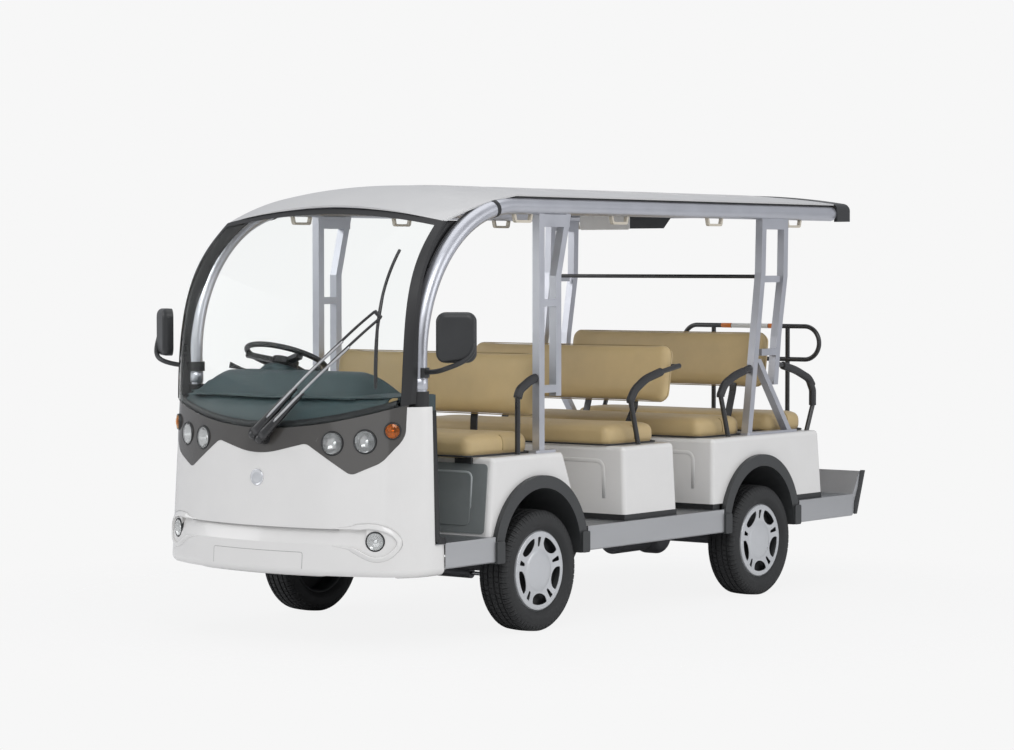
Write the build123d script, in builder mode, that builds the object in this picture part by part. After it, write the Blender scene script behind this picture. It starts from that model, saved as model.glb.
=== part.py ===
from build123d import *
import os
from math import asin, cos, radians, sin, tan

# Electric shuttle bus, in millimetres.
# The front looks along -Y, the left side of the vehicle is +X, up is +Z.
# The origin is on the ground, in the middle of the vehicle's length and width.

# Wheels and axles
WHEELBASE = 1880
FRONT_AXLE_Y = -890
TYRE_R = 280
TYRE_W = 165
RIM_R = 182
KINGPIN_R = 10
STUB_R = 15
PIN_GAP = 0.05
SEAT_GAP = 0.3
REAR_AXLE_Y = FRONT_AXLE_Y + WHEELBASE

# Whole body
NOSE_Y = -2038
TAIL_Y = 2041
BODY_HALF = 720
SILL_HALF = BODY_HALF + 25
SKIN = 6
SILL_LOW = 346
DECK_TOP = 461
DECK_T = 4
BOX_TOP = 815
DOOR_Y = -1666
TOE_Y = DOOR_Y + 62
WHEEL_X = SILL_HALF - TYRE_W / 2 - 5
KINGPIN_X = WHEEL_X - 32.5

# Wheel arches and the rear step
ARCH_IN_R = 298
ARCH_OUT_R = 356
ARCH_Z = 362
ARCH_DEEP_X = 430
ARCH_FOOT_Z = 340
REAR_ARCH_Y = REAR_AXLE_Y - 8
ARCHES = {"front": FRONT_AXLE_Y, "rear": REAR_ARCH_Y}
STEP_REAR_Y = 1876
LINER_T = 5

# Nose in plan: a wide front arc, then a corner arc that ends square to the sides, which flare downward
NOSE_LOW = 318
NOSE_TOP = 1062
NOSE_ARC_R = 1380
NOSE_ARC_X = BODY_HALF - 120
NOSE_LEAN = 4.07
NOSE_FLARE = 1.4

# Roof and its tubes
TUBE_R = 38
RAIL_X = BODY_HALF - 52
RAIL_Z = 1948
PILLAR_Y = -1697
PILLAR_BEND_R = 680
ROOF_HALF = BODY_HALF - 30
ROOF_T = 8
ROOF_EDGE_Z = RAIL_Z + 44
ROOF_CROWN_Z = RAIL_Z + 102
ROOF_REAR_Y = 1760
RAIL_FRONT_Y = PILLAR_Y + PILLAR_BEND_R

# Posts and their feet
POST = 40
POST_X = RAIL_X

# Benches
BENCH_HALF = BODY_HALF - 84
CUSHION_T = 96
BACK_HALF = BODY_HALF - 100
BACK_T = 72

os.makedirs("parts", exist_ok=True)


def write(piece, node):
    """Labels a finished piece and writes it as the node of that name."""
    piece.part.label = node
    export_step(piece.part, f"parts/{node}.step")


def side_plane(x):
    """A plane square to X at x, with the sketch's axes along Y and Z."""
    return Plane(origin=(x, 0, 0), x_dir=(0, 1, 0), z_dir=(1, 0, 0))


def front_plane(y):
    """A plane square to Y at y, with the sketch's axes along X and Z, facing -Y."""
    return Plane(origin=(0, y, 0), x_dir=(1, 0, 0), z_dir=(0, -1, 0))


def wheel_plane(side, y):
    """A plane through a wheel's middle: the sketch's x is outward, its y is upward."""
    return Plane(origin=(side * WHEEL_X, y, TYRE_R), x_dir=(side, 0, 0), z_dir=(0, -side, 0))


def nose_front(z):
    """Where the nose's outer skin lies on the centreline at height z."""
    return NOSE_Y + (z - NOSE_LOW) * tan(radians(NOSE_LEAN))


def nose_half(z):
    """Half of the nose's width at height z."""
    return BODY_HALF + (NOSE_TOP - z) * tan(radians(NOSE_FLARE))


def bow_corner(front_y, arc_r, half):
    """The corner arc of a bowed plan line: the front arc's turn to it, its radius and its centre."""
    turn = asin(NOSE_ARC_X / arc_r)
    corner_r = (half - NOSE_ARC_X) / (1 - sin(turn))
    return turn, corner_r, half - corner_r, front_y + arc_r - (arc_r - corner_r) * cos(turn)


def bow_half(front_y, arc_r, half, inset):
    """Half of a bowed plan line: front arc and corner arc, inset from the outer skin."""
    turn, corner_r, corner_x, corner_y = bow_corner(front_y, arc_r, half)

    def on_front(angle):
        return ((arc_r - inset) * sin(angle), front_y + arc_r - (arc_r - inset) * cos(angle))

    def on_corner(angle):
        r = corner_r - inset
        return (corner_x + r * sin(angle), corner_y - r * cos(angle))

    front = ThreePointArc(on_front(0), on_front(turn / 2), on_front(turn))
    square = radians(90)
    corner = ThreePointArc(on_corner(turn), on_corner((turn + square) / 2), on_corner(square))
    return front, corner


def nose_block(low, high, inset, high_inset=None):
    """The nose's form between two heights, inset from its outer skin, as one solid."""
    rear_y = DOOR_Y + 150
    insets = (inset, inset if high_inset is None else high_inset)
    with BuildPart() as block:
        for z, skin_inset in zip((low, high), insets):
            with BuildSketch(Plane.XY.offset(z)):
                with BuildLine():
                    front, corner = bow_half(nose_front(z), NOSE_ARC_R, nose_half(z), skin_inset)
                    flank = Line(corner @ 1, (nose_half(z) - skin_inset, rear_y))
                    Line(flank @ 1, (0, rear_y))
                    mirror(about=Plane.YZ)
                make_face()
        loft()
    return block.part


def round_nose(low, high, inset):
    """The nose's form with its lower edge rounded, apart from the rear edge."""
    with BuildPart() as block:
        add(nose_block(low, high, inset))
        fillet(block.faces().sort_by(Axis.Z)[0].edges().sort_by(Axis.Y)[:-1], LOWER_ROUND - inset)
    return block.part


def glass_low_z(x):
    """Height of the glass's lower edge at x, on one wide arc."""
    return GLASS_LOW_CENTRE_Z + GLASS_LOW_R - (GLASS_LOW_R**2 - x**2) ** 0.5


def lamp_plane(x, z):
    """The plane that touches the nose's skin at x and z, facing outward."""
    turn, corner_r, corner_x, corner_y = bow_corner(nose_front(z), NOSE_ARC_R, nose_half(z))
    if abs(x) <= NOSE_ARC_X:
        angle = asin(x / NOSE_ARC_R)
        y = nose_front(z) + NOSE_ARC_R * (1 - cos(angle))
    else:
        side = 1 if x > 0 else -1
        angle = side * asin((abs(x) - corner_x) / corner_r)
        y = corner_y - corner_r * cos(angle)
    return Plane(origin=(x, y, z), x_dir=(cos(angle), sin(angle), 0), z_dir=(sin(angle), -cos(angle), 0))


WHEELS = {
    "front_left": (1, FRONT_AXLE_Y),
    "front_right": (-1, FRONT_AXLE_Y),
    "rear_left": (1, REAR_AXLE_Y),
    "rear_right": (-1, REAR_AXLE_Y),
}

# Tyres: crowned tread, round shoulders and bulged walls, one half section mirrored
TREAD_HALF = 62
TYRE_WALL = 13
BEAD_X = 58
BULGE_R = 222
BEAD_R = RIM_R + SEAT_GAP

for corner_name, (side, axle_y) in WHEELS.items():
    plane = wheel_plane(side, axle_y)
    with BuildPart() as tyre:
        with BuildSketch(plane):
            with BuildLine():
                tread = Line((0, TYRE_R), (TREAD_HALF, TYRE_R - 3))
                shoulder_end = (TYRE_W / 2 - 6, TYRE_R - 20)
                shoulder = ThreePointArc(tread @ 1, (TYRE_W / 2 - 11, TYRE_R - 9), shoulder_end)
                wall = ThreePointArc(shoulder @ 1, (TYRE_W / 2, BULGE_R), (BEAD_X, BEAD_R))
                bead = Line(wall @ 1, (BEAD_X - TYRE_WALL, BEAD_R))
                belt_end = (TREAD_HALF, TYRE_R - TYRE_WALL - 8)
                inner = ThreePointArc(bead @ 1, (TYRE_W / 2 - TYRE_WALL, BULGE_R), belt_end)
                Line(inner @ 1, (0, TYRE_R - TYRE_WALL))
                mirror(about=Plane.YZ)
            make_face()
        revolve(axis=Axis(plane.origin, (1, 0, 0)))
    write(tyre, f"tyre_{corner_name}")

# Wheels: rim barrel, silver cover with five wide and five narrow windows, hub and brake disc
RIM_HALF = 62
RIM_WALL = 6
COVER_OUT = 70
COVER_T = 8
HUB_IN = 10
HUB_R = 32
HUB_FACE = 50
DISC_R = 100
DISC_IN = 14
DISC_OUT = 34
SPOKES = 5
CENTRE_R = 92
WINDOW_HIGH = 158
WIDE_LOW = 106
WIDE_SIDE = 132
WIDE_ANGLE = 21
NARROW_LOW = 112
NARROW_ANGLE = 4.6


def cover_window(half_angle, low, low_side):
    """A window's outline on the wheel's cover: round outer edge, straight sides and a bowed inner edge."""

    def at(r, angle):
        return (r * cos(radians(angle)), r * sin(radians(angle)))

    with BuildSketch() as window:
        with BuildLine():
            outer = ThreePointArc(at(WINDOW_HIGH, -half_angle), at(WINDOW_HIGH, 0), at(WINDOW_HIGH, half_angle))
            inner = ThreePointArc(at(low_side, -half_angle), at(low, 0), at(low_side, half_angle))
            Line(outer @ 0, inner @ 0)
            Line(outer @ 1, inner @ 1)
        make_face()
        fillet(window.vertices(), 4)
    return window.sketch


wide_window = cover_window(WIDE_ANGLE, WIDE_LOW, WIDE_SIDE)
narrow_window = cover_window(NARROW_ANGLE, NARROW_LOW, NARROW_LOW)

for corner_name, (side, axle_y) in WHEELS.items():
    plane = wheel_plane(side, axle_y)
    cover_plane = Plane(
        origin=(side * (WHEEL_X + COVER_OUT + 5), axle_y, TYRE_R), x_dir=(0, 1, 0), z_dir=(side, 0, 0)
    )
    with BuildPart() as wheel:
        with BuildSketch(plane):
            with Locations((0, RIM_R - RIM_WALL / 2)):
                Rectangle(2 * RIM_HALF, RIM_WALL)
            with BuildLine():
                Polyline(
                    (RIM_HALF, RIM_R),
                    (RIM_HALF + 6, RIM_R - 5),
                    (COVER_OUT, WINDOW_HIGH + 4),
                    (COVER_OUT - COVER_T, CENTRE_R + 6),
                    (COVER_OUT - 4, CENTRE_R - 4),
                    (COVER_OUT - 4, 0),
                    (HUB_FACE, 0),
                    (HUB_FACE, 60),
                    (COVER_OUT - 2 * COVER_T, CENTRE_R + 8),
                    (COVER_OUT - COVER_T, WINDOW_HIGH + 2),
                    (RIM_HALF - 3, RIM_R - RIM_WALL),
                    (RIM_HALF, RIM_R),
                )
            make_face()
            with Locations(((HUB_IN + HUB_FACE) / 2, (STUB_R + PIN_GAP + HUB_R) / 2)):
                Rectangle(HUB_FACE - HUB_IN, HUB_R - STUB_R - PIN_GAP)
            with Locations(((DISC_IN + DISC_OUT) / 2, (HUB_R + DISC_R) / 2 - 5)):
                Rectangle(DISC_OUT - DISC_IN, DISC_R - HUB_R + 10)
        revolve(axis=Axis(plane.origin, (1, 0, 0)))
        with BuildSketch(cover_plane):
            for k in range(SPOKES):
                add(narrow_window, rotation=90 + 360 / SPOKES * k)
                add(wide_window, rotation=90 + 360 / SPOKES * (k + 0.5))
        extrude(amount=-(COVER_OUT + 5 - DISC_OUT - 5), mode=Mode.SUBTRACT)
    write(wheel, f"wheel_{corner_name}")

# Steering knuckles: a fork round the axle's eye, its kingpin, the stub axle and the steering arm
EYE_HALF = 24
FORK_GAP = 3
FORK_T = 12
FORK_WEB_X = KINGPIN_X + 27
FORK_OUT_X = KINGPIN_X + 40
FORK_IN_X = KINGPIN_X - 17
FORK_HALF = 20
STUB_END_X = WHEEL_X + HUB_FACE - 2
ARM_Y = FRONT_AXLE_Y + 130
ARM_X = KINGPIN_X - 69
ARM_BOSS_R = 16
ARM_LOW = TYRE_R - EYE_HALF - FORK_GAP - FORK_T

with BuildPart() as knuckle_left:
    with BuildSketch(front_plane(FRONT_AXLE_Y)):
        with Locations(((FORK_IN_X + FORK_OUT_X) / 2, TYRE_R)):
            Rectangle(FORK_OUT_X - FORK_IN_X, 2 * (EYE_HALF + FORK_GAP + FORK_T))
        with Locations(((FORK_IN_X + FORK_WEB_X) / 2, TYRE_R)):
            Rectangle(FORK_WEB_X - FORK_IN_X, 2 * (EYE_HALF + FORK_GAP), mode=Mode.SUBTRACT)
    extrude(amount=FORK_HALF, both=True)
    with BuildSketch(Plane.XY.offset(ARM_LOW)):
        with Locations((KINGPIN_X, FRONT_AXLE_Y)):
            Circle(KINGPIN_R)
    extrude(amount=2 * (EYE_HALF + FORK_GAP + FORK_T))
    with BuildSketch(side_plane(FORK_WEB_X)):
        with Locations((FRONT_AXLE_Y, TYRE_R)):
            Circle(STUB_R)
    extrude(amount=STUB_END_X - FORK_WEB_X)
    with BuildSketch(Plane.XY.offset(ARM_LOW)):
        with BuildLine():
            Polyline(
                (FORK_IN_X, FRONT_AXLE_Y),
                (FORK_IN_X + 34, FRONT_AXLE_Y),
                (FORK_IN_X + 34, FRONT_AXLE_Y + FORK_HALF),
                (ARM_X + ARM_BOSS_R - 3, ARM_Y),
                (ARM_X - ARM_BOSS_R + 3, ARM_Y),
                (FORK_IN_X, FRONT_AXLE_Y + FORK_HALF),
                (FORK_IN_X, FRONT_AXLE_Y),
            )
        make_face()
        with Locations((ARM_X, ARM_Y)):
            Circle(ARM_BOSS_R)
    extrude(amount=FORK_T)
write(knuckle_left, "knuckle_left")

with BuildPart() as knuckle_right:
    add(knuckle_left.part)
    mirror(about=Plane.YZ, mode=Mode.REPLACE)
write(knuckle_right, "knuckle_right")

# Front axle: a forged beam with an eye at each end
BEAM_W = 46
BEAM_H = 40
EYE_R = 20
SPRING_X = 350

with BuildPart() as front_axle:
    with BuildSketch(side_plane(0)):
        with Locations((FRONT_AXLE_Y, TYRE_R)):
            RectangleRounded(BEAM_W, BEAM_H, 8)
    extrude(amount=KINGPIN_X - EYE_R / 2, both=True)
    with BuildSketch(Plane.XY.offset(TYRE_R - EYE_HALF)):
        with Locations((KINGPIN_X, FRONT_AXLE_Y), (-KINGPIN_X, FRONT_AXLE_Y)):
            Circle(EYE_R)
    extrude(amount=2 * EYE_HALF)
    with BuildSketch(Plane.XY.offset(TYRE_R - EYE_HALF)):
        with Locations((KINGPIN_X, FRONT_AXLE_Y), (-KINGPIN_X, FRONT_AXLE_Y)):
            Circle(KINGPIN_R + PIN_GAP)
    extrude(amount=2 * EYE_HALF, mode=Mode.SUBTRACT)
write(front_axle, "front_axle")

# Rear axle: tube, differential housing and the spindles that carry the rear wheels
AXLE_TUBE_R = 34
DIFF_X = 60
DIFF_R = 105
DIFF_HALF = 70
REAR_FLANGE_X = WHEEL_X - 2.5

with BuildPart() as rear_axle:
    with BuildSketch(side_plane(0)):
        with Locations((REAR_AXLE_Y, TYRE_R)):
            Circle(AXLE_TUBE_R)
    extrude(amount=REAR_FLANGE_X, both=True)
    with BuildSketch(side_plane(0)):
        with Locations((REAR_AXLE_Y, TYRE_R)):
            Circle(STUB_R)
    extrude(amount=STUB_END_X, both=True)
    with BuildSketch(side_plane(DIFF_X)):
        with Locations((REAR_AXLE_Y, TYRE_R)):
            Circle(DIFF_R)
    extrude(amount=DIFF_HALF, both=True)
    fillet(rear_axle.edges().filter_by(GeomType.CIRCLE).filter_by(lambda e: abs(e.radius - DIFF_R) < 1), 40)
write(rear_axle, "rear_axle")

# Drive motor on the front of the differential housing
MOTOR_R = 82
MOTOR_LEN = 270

with BuildPart() as drive_motor:
    with BuildSketch(front_plane(REAR_AXLE_Y - DIFF_R - SEAT_GAP)):
        with Locations((DIFF_X, TYRE_R)):
            Circle(MOTOR_R)
    extrude(amount=MOTOR_LEN)
    chamfer(drive_motor.faces().sort_by(Axis.Y)[0].edges(), 12)
write(drive_motor, "drive_motor")

# Frame: two side rails and the cross members between them
RAIL_W = 50
RAIL_H = 96
FRAME_TOP = DECK_TOP - DECK_T
FRAME_FRONT_Y = -1840
FRAME_REAR_Y = STEP_REAR_Y - SEAT_GAP
CROSS_Y = (-1800, -1480, -1180, -760, -330, 60, 460, 780, 1240, 1560, 1850)
CROSS_W = 46
OUTRIGGER_X = SILL_HALF - 60
CROSS_H = 60

# Tow plate under the last cross member, with a hole for a tow pin
TOW_FRONT_Y = 1842
TOW_END_Y = 1975
TOW_LOW = 330
TOW_T = 12
TOW_HALF = 40
TOW_PIN_Y = 1940
TOW_PIN_R = 11

with BuildPart() as frame_rails:
    with BuildSketch(front_plane(FRAME_FRONT_Y)):
        with Locations((SPRING_X, FRAME_TOP - RAIL_H / 2), (-SPRING_X, FRAME_TOP - RAIL_H / 2)):
            Rectangle(RAIL_W, RAIL_H)
    extrude(amount=FRAME_FRONT_Y - FRAME_REAR_Y)
write(frame_rails, "frame_rails")

with BuildPart() as cross_members:
    for y in CROSS_Y:
        with BuildSketch(front_plane(y)):
            with Locations((0, FRAME_TOP - CROSS_H / 2)):
                Rectangle(2 * SPRING_X - RAIL_W, CROSS_H)
            if y > DOOR_Y and min(abs(y - FRONT_AXLE_Y), abs(y - REAR_AXLE_Y)) > 320:
                inner = SPRING_X + RAIL_W / 2
                for side in (1, -1):
                    with Locations((side * (OUTRIGGER_X + inner) / 2, FRAME_TOP - CROSS_H / 2)):
                        Rectangle(OUTRIGGER_X - inner, CROSS_H)
        extrude(amount=CROSS_W / 2, both=True)
write(cross_members, "cross_members")

with BuildPart() as tow_plate:
    with BuildSketch(side_plane(0)):
        with BuildLine():
            Polyline(
                (TOW_FRONT_Y, FRAME_TOP - CROSS_H),
                (TOW_FRONT_Y, TOW_LOW),
                (TOW_END_Y, TOW_LOW),
                (TOW_END_Y, TOW_LOW + TOW_T),
                (TOW_FRONT_Y + TOW_T, TOW_LOW + TOW_T),
                (TOW_FRONT_Y + TOW_T, FRAME_TOP - CROSS_H),
                close=True,
            )
        make_face()
    extrude(amount=TOW_HALF, both=True)
    with BuildSketch(Plane.XY.offset(TOW_LOW)):
        with Locations((0, TOW_PIN_Y)):
            Circle(TOW_PIN_R)
    extrude(amount=TOW_T, mode=Mode.SUBTRACT)
write(tow_plate, "tow_plate")

# Leaf springs: three leaves clamped on the axle, eyes at the rail
LEAF_T = 8
LEAF_W = 50
SPRING_HALF = 380

SPRING_SEATS = ((FRONT_AXLE_Y, TYRE_R + BEAM_H / 2), (REAR_AXLE_Y, TYRE_R + AXLE_TUBE_R))

with BuildPart() as leaf_springs:
    for axle_y, seat_z in SPRING_SEATS:
        with BuildSketch(side_plane(SPRING_X)):
            for row, share in enumerate((0.45, 0.72, 1.0)):
                half = SPRING_HALF * share
                low = seat_z + row * LEAF_T
                rise = (FRAME_TOP - RAIL_H - 3 * LEAF_T - seat_z) * share * share
                end_z = low + rise
                with BuildLine():
                    under = ThreePointArc((axle_y - half, end_z), (axle_y, low), (axle_y + half, end_z))
                    over_end = end_z + LEAF_T
                    over_low = low + LEAF_T
                    over = ThreePointArc((axle_y - half, over_end), (axle_y, over_low), (axle_y + half, over_end))
                    Line(under @ 0, over @ 0)
                    Line(under @ 1, over @ 1)
                make_face()
        extrude(amount=LEAF_W / 2, both=True)
    mirror(about=Plane.YZ)
write(leaf_springs, "leaf_springs")

# Battery pack under the middle bench, one plain block between the frame's side rails
BATTERY = (560, 360, 300)
BATTERY_Y = 8

with BuildPart() as battery_block:
    with BuildSketch(Plane.XY.offset(DECK_TOP)):
        with Locations((0, BATTERY_Y)):
            RectangleRounded(BATTERY[0], BATTERY[1], 10)
    extrude(amount=BATTERY[2])
write(battery_block, "battery_block")

# Steering rack: a housing on the frame, and the sliding rack with its tie rods
RACK_Z = ARM_LOW - 14
RACK_R = 9
RACK_BORE_R = RACK_R + PIN_GAP
RACK_TUBE_R = 25
RACK_TUBE_HALF = 230
TIE_T = 14
RACK_GAP = 6

with BuildPart() as rack_housing:
    with BuildSketch(side_plane(0)):
        with Locations((ARM_Y, RACK_Z)):
            Circle(RACK_TUBE_R)
    extrude(amount=RACK_TUBE_HALF, both=True)
    with BuildSketch(side_plane(0)):
        with BuildLine():
            Polyline(
                (ARM_Y - 20, RACK_Z),
                (ARM_Y - 20, FRAME_TOP - CROSS_H),
                (ARM_Y + 20, FRAME_TOP - CROSS_H),
                (ARM_Y + 20, RACK_Z),
                (ARM_Y - 20, RACK_Z),
            )
        make_face()
    extrude(amount=160, both=True)
    with BuildSketch(side_plane(0)):
        with Locations((ARM_Y, (RACK_Z + FRAME_TOP - CROSS_H) / 2 + 12)):
            Rectangle(60, FRAME_TOP - CROSS_H - RACK_Z - RACK_TUBE_R)
    extrude(amount=140, both=True, mode=Mode.SUBTRACT)
    with BuildSketch(side_plane(0)):
        with Locations((ARM_Y, RACK_Z)):
            Circle(RACK_BORE_R)
    extrude(amount=RACK_TUBE_HALF, both=True, mode=Mode.SUBTRACT)
write(rack_housing, "rack_housing")

with BuildPart() as steering_rack:
    with BuildSketch(side_plane(0)):
        with Locations((ARM_Y, RACK_Z)):
            Circle(RACK_R)
    extrude(amount=ARM_X, both=True)
    with BuildSketch(Plane.XY.offset(RACK_Z - TIE_T / 2)):
        with Locations((ARM_X, ARM_Y), (-ARM_X, ARM_Y)):
            Circle(ARM_BOSS_R)
    extrude(amount=TIE_T)
write(steering_rack, "steering_rack")

# Deck: one tread plate over the frame, cut out over the four wheels
DECK_NOSE_INSET = 19

nose_floor = nose_block(DECK_TOP - DECK_T, DECK_TOP, DECK_NOSE_INSET)

with BuildPart() as floor_deck:
    add(nose_floor)
    with BuildSketch(Plane.XY.offset(DECK_TOP - DECK_T)):
        with Locations((0, (DOOR_Y + STEP_REAR_Y) / 2)):
            Rectangle(2 * SILL_HALF - 6, STEP_REAR_Y - DOOR_Y)
        for y in ARCHES.values():
            for side in (1, -1):
                with Locations((side * (ARCH_DEEP_X + SILL_HALF) / 2, y)):
                    Rectangle(SILL_HALF - ARCH_DEEP_X, 2 * ARCH_OUT_R, mode=Mode.SUBTRACT)
    extrude(amount=DECK_T)
write(floor_deck, "floor_deck")

# Side sills: an aluminium channel between the arches, with a rolled upper edge
SILL_DEPTH = 58
SILL_RUNS = (
    (TOE_Y + SEAT_GAP, FRONT_AXLE_Y - ARCH_OUT_R),
    (FRONT_AXLE_Y + ARCH_OUT_R, REAR_ARCH_Y - ARCH_OUT_R),
    (REAR_ARCH_Y + ARCH_OUT_R, STEP_REAR_Y - SEAT_GAP),
)
SILL_WALL = 4

with BuildPart() as side_sills:
    for start, end in SILL_RUNS:
        with BuildSketch(front_plane(start)):
            with BuildLine():
                Polyline(
                    (SILL_HALF - SILL_DEPTH, FRAME_TOP),
                    (SILL_HALF - 3, FRAME_TOP),
                    (SILL_HALF - 3, DECK_TOP),
                    (SILL_HALF, DECK_TOP),
                    (SILL_HALF, SILL_LOW + 6),
                    (SILL_HALF - 6, SILL_LOW),
                    (SILL_HALF - SILL_DEPTH, SILL_LOW),
                    (SILL_HALF - SILL_DEPTH, SILL_LOW + SILL_WALL),
                    (SILL_HALF - SILL_WALL, SILL_LOW + SILL_WALL),
                    (SILL_HALF - SILL_WALL, FRAME_TOP - SILL_WALL),
                    (SILL_HALF - SILL_DEPTH, FRAME_TOP - SILL_WALL),
                    (SILL_HALF - SILL_DEPTH, FRAME_TOP),
                )
            make_face()
        extrude(amount=start - end)
    mirror(about=Plane.YZ)
write(side_sills, "side_sills")

# Wheel arches: a flare outside with a thick foot at each end, and a liner that houses the wheel
FOOT_H = 100
FOOT_T = 12
for end, arch_y in ARCHES.items():
    with BuildPart() as arches:
        with BuildSketch(side_plane(SILL_HALF)):
            with Locations((arch_y, ARCH_Z)):
                Circle(ARCH_OUT_R)
                Circle(ARCH_IN_R, mode=Mode.SUBTRACT)
            with Locations((arch_y, (ARCH_Z + ARCH_FOOT_Z) / 2)):
                Rectangle(2 * ARCH_OUT_R, ARCH_Z - ARCH_FOOT_Z)
            with Locations((arch_y, ARCH_Z - 200)):
                Rectangle(2 * ARCH_IN_R, 400, mode=Mode.SUBTRACT)
            with Locations((arch_y, ARCH_FOOT_Z - 200)):
                Rectangle(3 * ARCH_OUT_R, 400, mode=Mode.SUBTRACT)
        extrude(amount=BODY_HALF + SEAT_GAP - SILL_HALF)
        with BuildSketch(side_plane(SILL_HALF + FOOT_T)):
            foot_w = ARCH_OUT_R - ARCH_IN_R
            for way in (1, -1):
                with Locations((arch_y + way * (ARCH_IN_R + foot_w / 2), ARCH_FOOT_Z + FOOT_H / 2)):
                    RectangleRounded(foot_w - 2 * SEAT_GAP, FOOT_H, 10)
        extrude(amount=BODY_HALF + SEAT_GAP - SILL_HALF - FOOT_T)
        with BuildSketch(side_plane(ARCH_DEEP_X)):
            with Locations((arch_y, ARCH_Z)):
                Circle(ARCH_IN_R + LINER_T)
            with Locations((arch_y, (ARCH_Z + ARCH_FOOT_Z) / 2)):
                Rectangle(2 * (ARCH_IN_R + LINER_T), ARCH_Z - ARCH_FOOT_Z)
            with Locations((arch_y, ARCH_FOOT_Z - 200)):
                Rectangle(3 * ARCH_OUT_R, 400, mode=Mode.SUBTRACT)
        extrude(amount=SILL_HALF - ARCH_DEEP_X - 5)
        with BuildSketch(side_plane(ARCH_DEEP_X + LINER_T)):
            with Locations((arch_y, ARCH_Z)):
                Circle(ARCH_IN_R)
            with Locations((arch_y, ARCH_Z - 200)):
                Rectangle(2 * ARCH_IN_R, 400)
        extrude(amount=SILL_HALF, mode=Mode.SUBTRACT)
        mirror(about=Plane.YZ)
    write(arches, f"{end}_wheel_arches")

# Nose: a white moulded shell with a turned-under lower edge and a step that overhangs the bumper
MASK_HALF = BODY_HALF - 44
MASK_LINE = (
    (MASK_HALF, NOSE_TOP + 300, 0),
    (MASK_HALF, 925, 120),
    (600, 822, 110),
    (472, 764, 42),
    (256, 899, 50),
    (0, 838, 500),
    (-256, 899, 50),
    (-472, 764, 42),
    (-600, 822, 110),
    (-MASK_HALF, 925, 120),
    (-MASK_HALF, NOSE_TOP + 300, 0),
)
GLASS_LOW_X = BODY_HALF - 58
GLASS_LOW_CENTRE_Z = 961
GLASS_LOW_RISE = 106
GLASS_LOW_R = (GLASS_LOW_X**2 + GLASS_LOW_RISE**2) / (2 * GLASS_LOW_RISE)
LOWER_ROUND = 34
STEP_LINE_Z = 530
STEP_FOOT_Z = 448
STEP_DEEP = 15
STEP_RUN_OUT = 3
STEP_HALF = 548
FOG_X = 585
FOG_Z = 480
FOG_R = 44

skin_outer = round_nose(NOSE_LOW, NOSE_TOP, 0)
skin_inner = round_nose(NOSE_LOW + SKIN, NOSE_TOP + 10, SKIN)
ledge_block = nose_block(NOSE_TOP - SKIN, NOSE_TOP, 0)
step_outer = nose_block(STEP_FOOT_Z, STEP_LINE_Z, -5)
step_inner = nose_block(STEP_FOOT_Z, STEP_LINE_Z, -STEP_RUN_OUT, STEP_DEEP)
backing_outer = nose_block(STEP_FOOT_Z, STEP_LINE_Z + SKIN, SKIN - 1)
backing_inner = nose_block(STEP_FOOT_Z, STEP_LINE_Z + SKIN, SKIN - STEP_RUN_OUT, SKIN + STEP_DEEP)

with BuildPart() as step_cut:
    add(step_outer)
    add(step_inner, mode=Mode.SUBTRACT)
    with BuildSketch(Plane.XY.offset(STEP_FOOT_Z)):
        with Locations((0, NOSE_Y)):
            Rectangle(2 * STEP_HALF, 600)
    extrude(amount=STEP_LINE_Z - STEP_FOOT_Z, mode=Mode.INTERSECT)

with BuildPart() as step_backing:
    add(backing_outer)
    add(backing_inner, mode=Mode.SUBTRACT)
    with BuildSketch(Plane.XY.offset(STEP_FOOT_Z)):
        with Locations((0, NOSE_Y)):
            Rectangle(2 * (STEP_HALF + SKIN), 600)
    extrude(amount=STEP_LINE_Z - STEP_FOOT_Z + SKIN, mode=Mode.INTERSECT)

with BuildPart() as nose_shell:
    add(skin_outer)
    add(skin_inner, mode=Mode.SUBTRACT)
    with BuildSketch(Plane.XY.offset(NOSE_LOW)):
        with Locations((0, DOOR_Y)):
            Rectangle(2 * BODY_HALF - 4 * LOWER_ROUND, 2 * (DOOR_Y - NOSE_Y - 2 * LOWER_ROUND))
    extrude(amount=SKIN, mode=Mode.SUBTRACT)
    add(ledge_block)
    add(step_backing.part)
    add(step_cut.part, mode=Mode.SUBTRACT)
    with BuildSketch(Plane.XY.offset(NOSE_TOP)):
        with Locations((RAIL_X, PILLAR_Y), (-RAIL_X, PILLAR_Y)):
            Circle(TUBE_R + SEAT_GAP)
    extrude(amount=DECK_TOP - NOSE_TOP, mode=Mode.SUBTRACT)
    with BuildSketch(front_plane(TOE_Y)):
        Rectangle(3 * BODY_HALF, 3 * NOSE_TOP)
    extrude(amount=-400, mode=Mode.SUBTRACT)
    with BuildSketch(front_plane(DOOR_Y)):
        with Locations((0, DECK_TOP - DECK_T - SEAT_GAP + NOSE_TOP / 2)):
            Rectangle(3 * BODY_HALF, NOSE_TOP)
    extrude(amount=-400, mode=Mode.SUBTRACT)
    with BuildSketch(front_plane(DOOR_Y + 100)):
        with BuildLine():
            edge_points = [(x, z) for x, z, r in MASK_LINE]
            edge = FilletPolyline(*edge_points, radius=[r for x, z, r in MASK_LINE[1:-1]])
            Line(edge @ 1, edge @ 0)
        make_face()
    extrude(amount=800, mode=Mode.SUBTRACT)
    for side in (1, -1):
        with BuildSketch(lamp_plane(side * FOG_X, FOG_Z)):
            Circle(FOG_R + SEAT_GAP)
        extrude(amount=LOWER_ROUND, both=True, mode=Mode.SUBTRACT)
write(nose_shell, "nose_shell")

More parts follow.
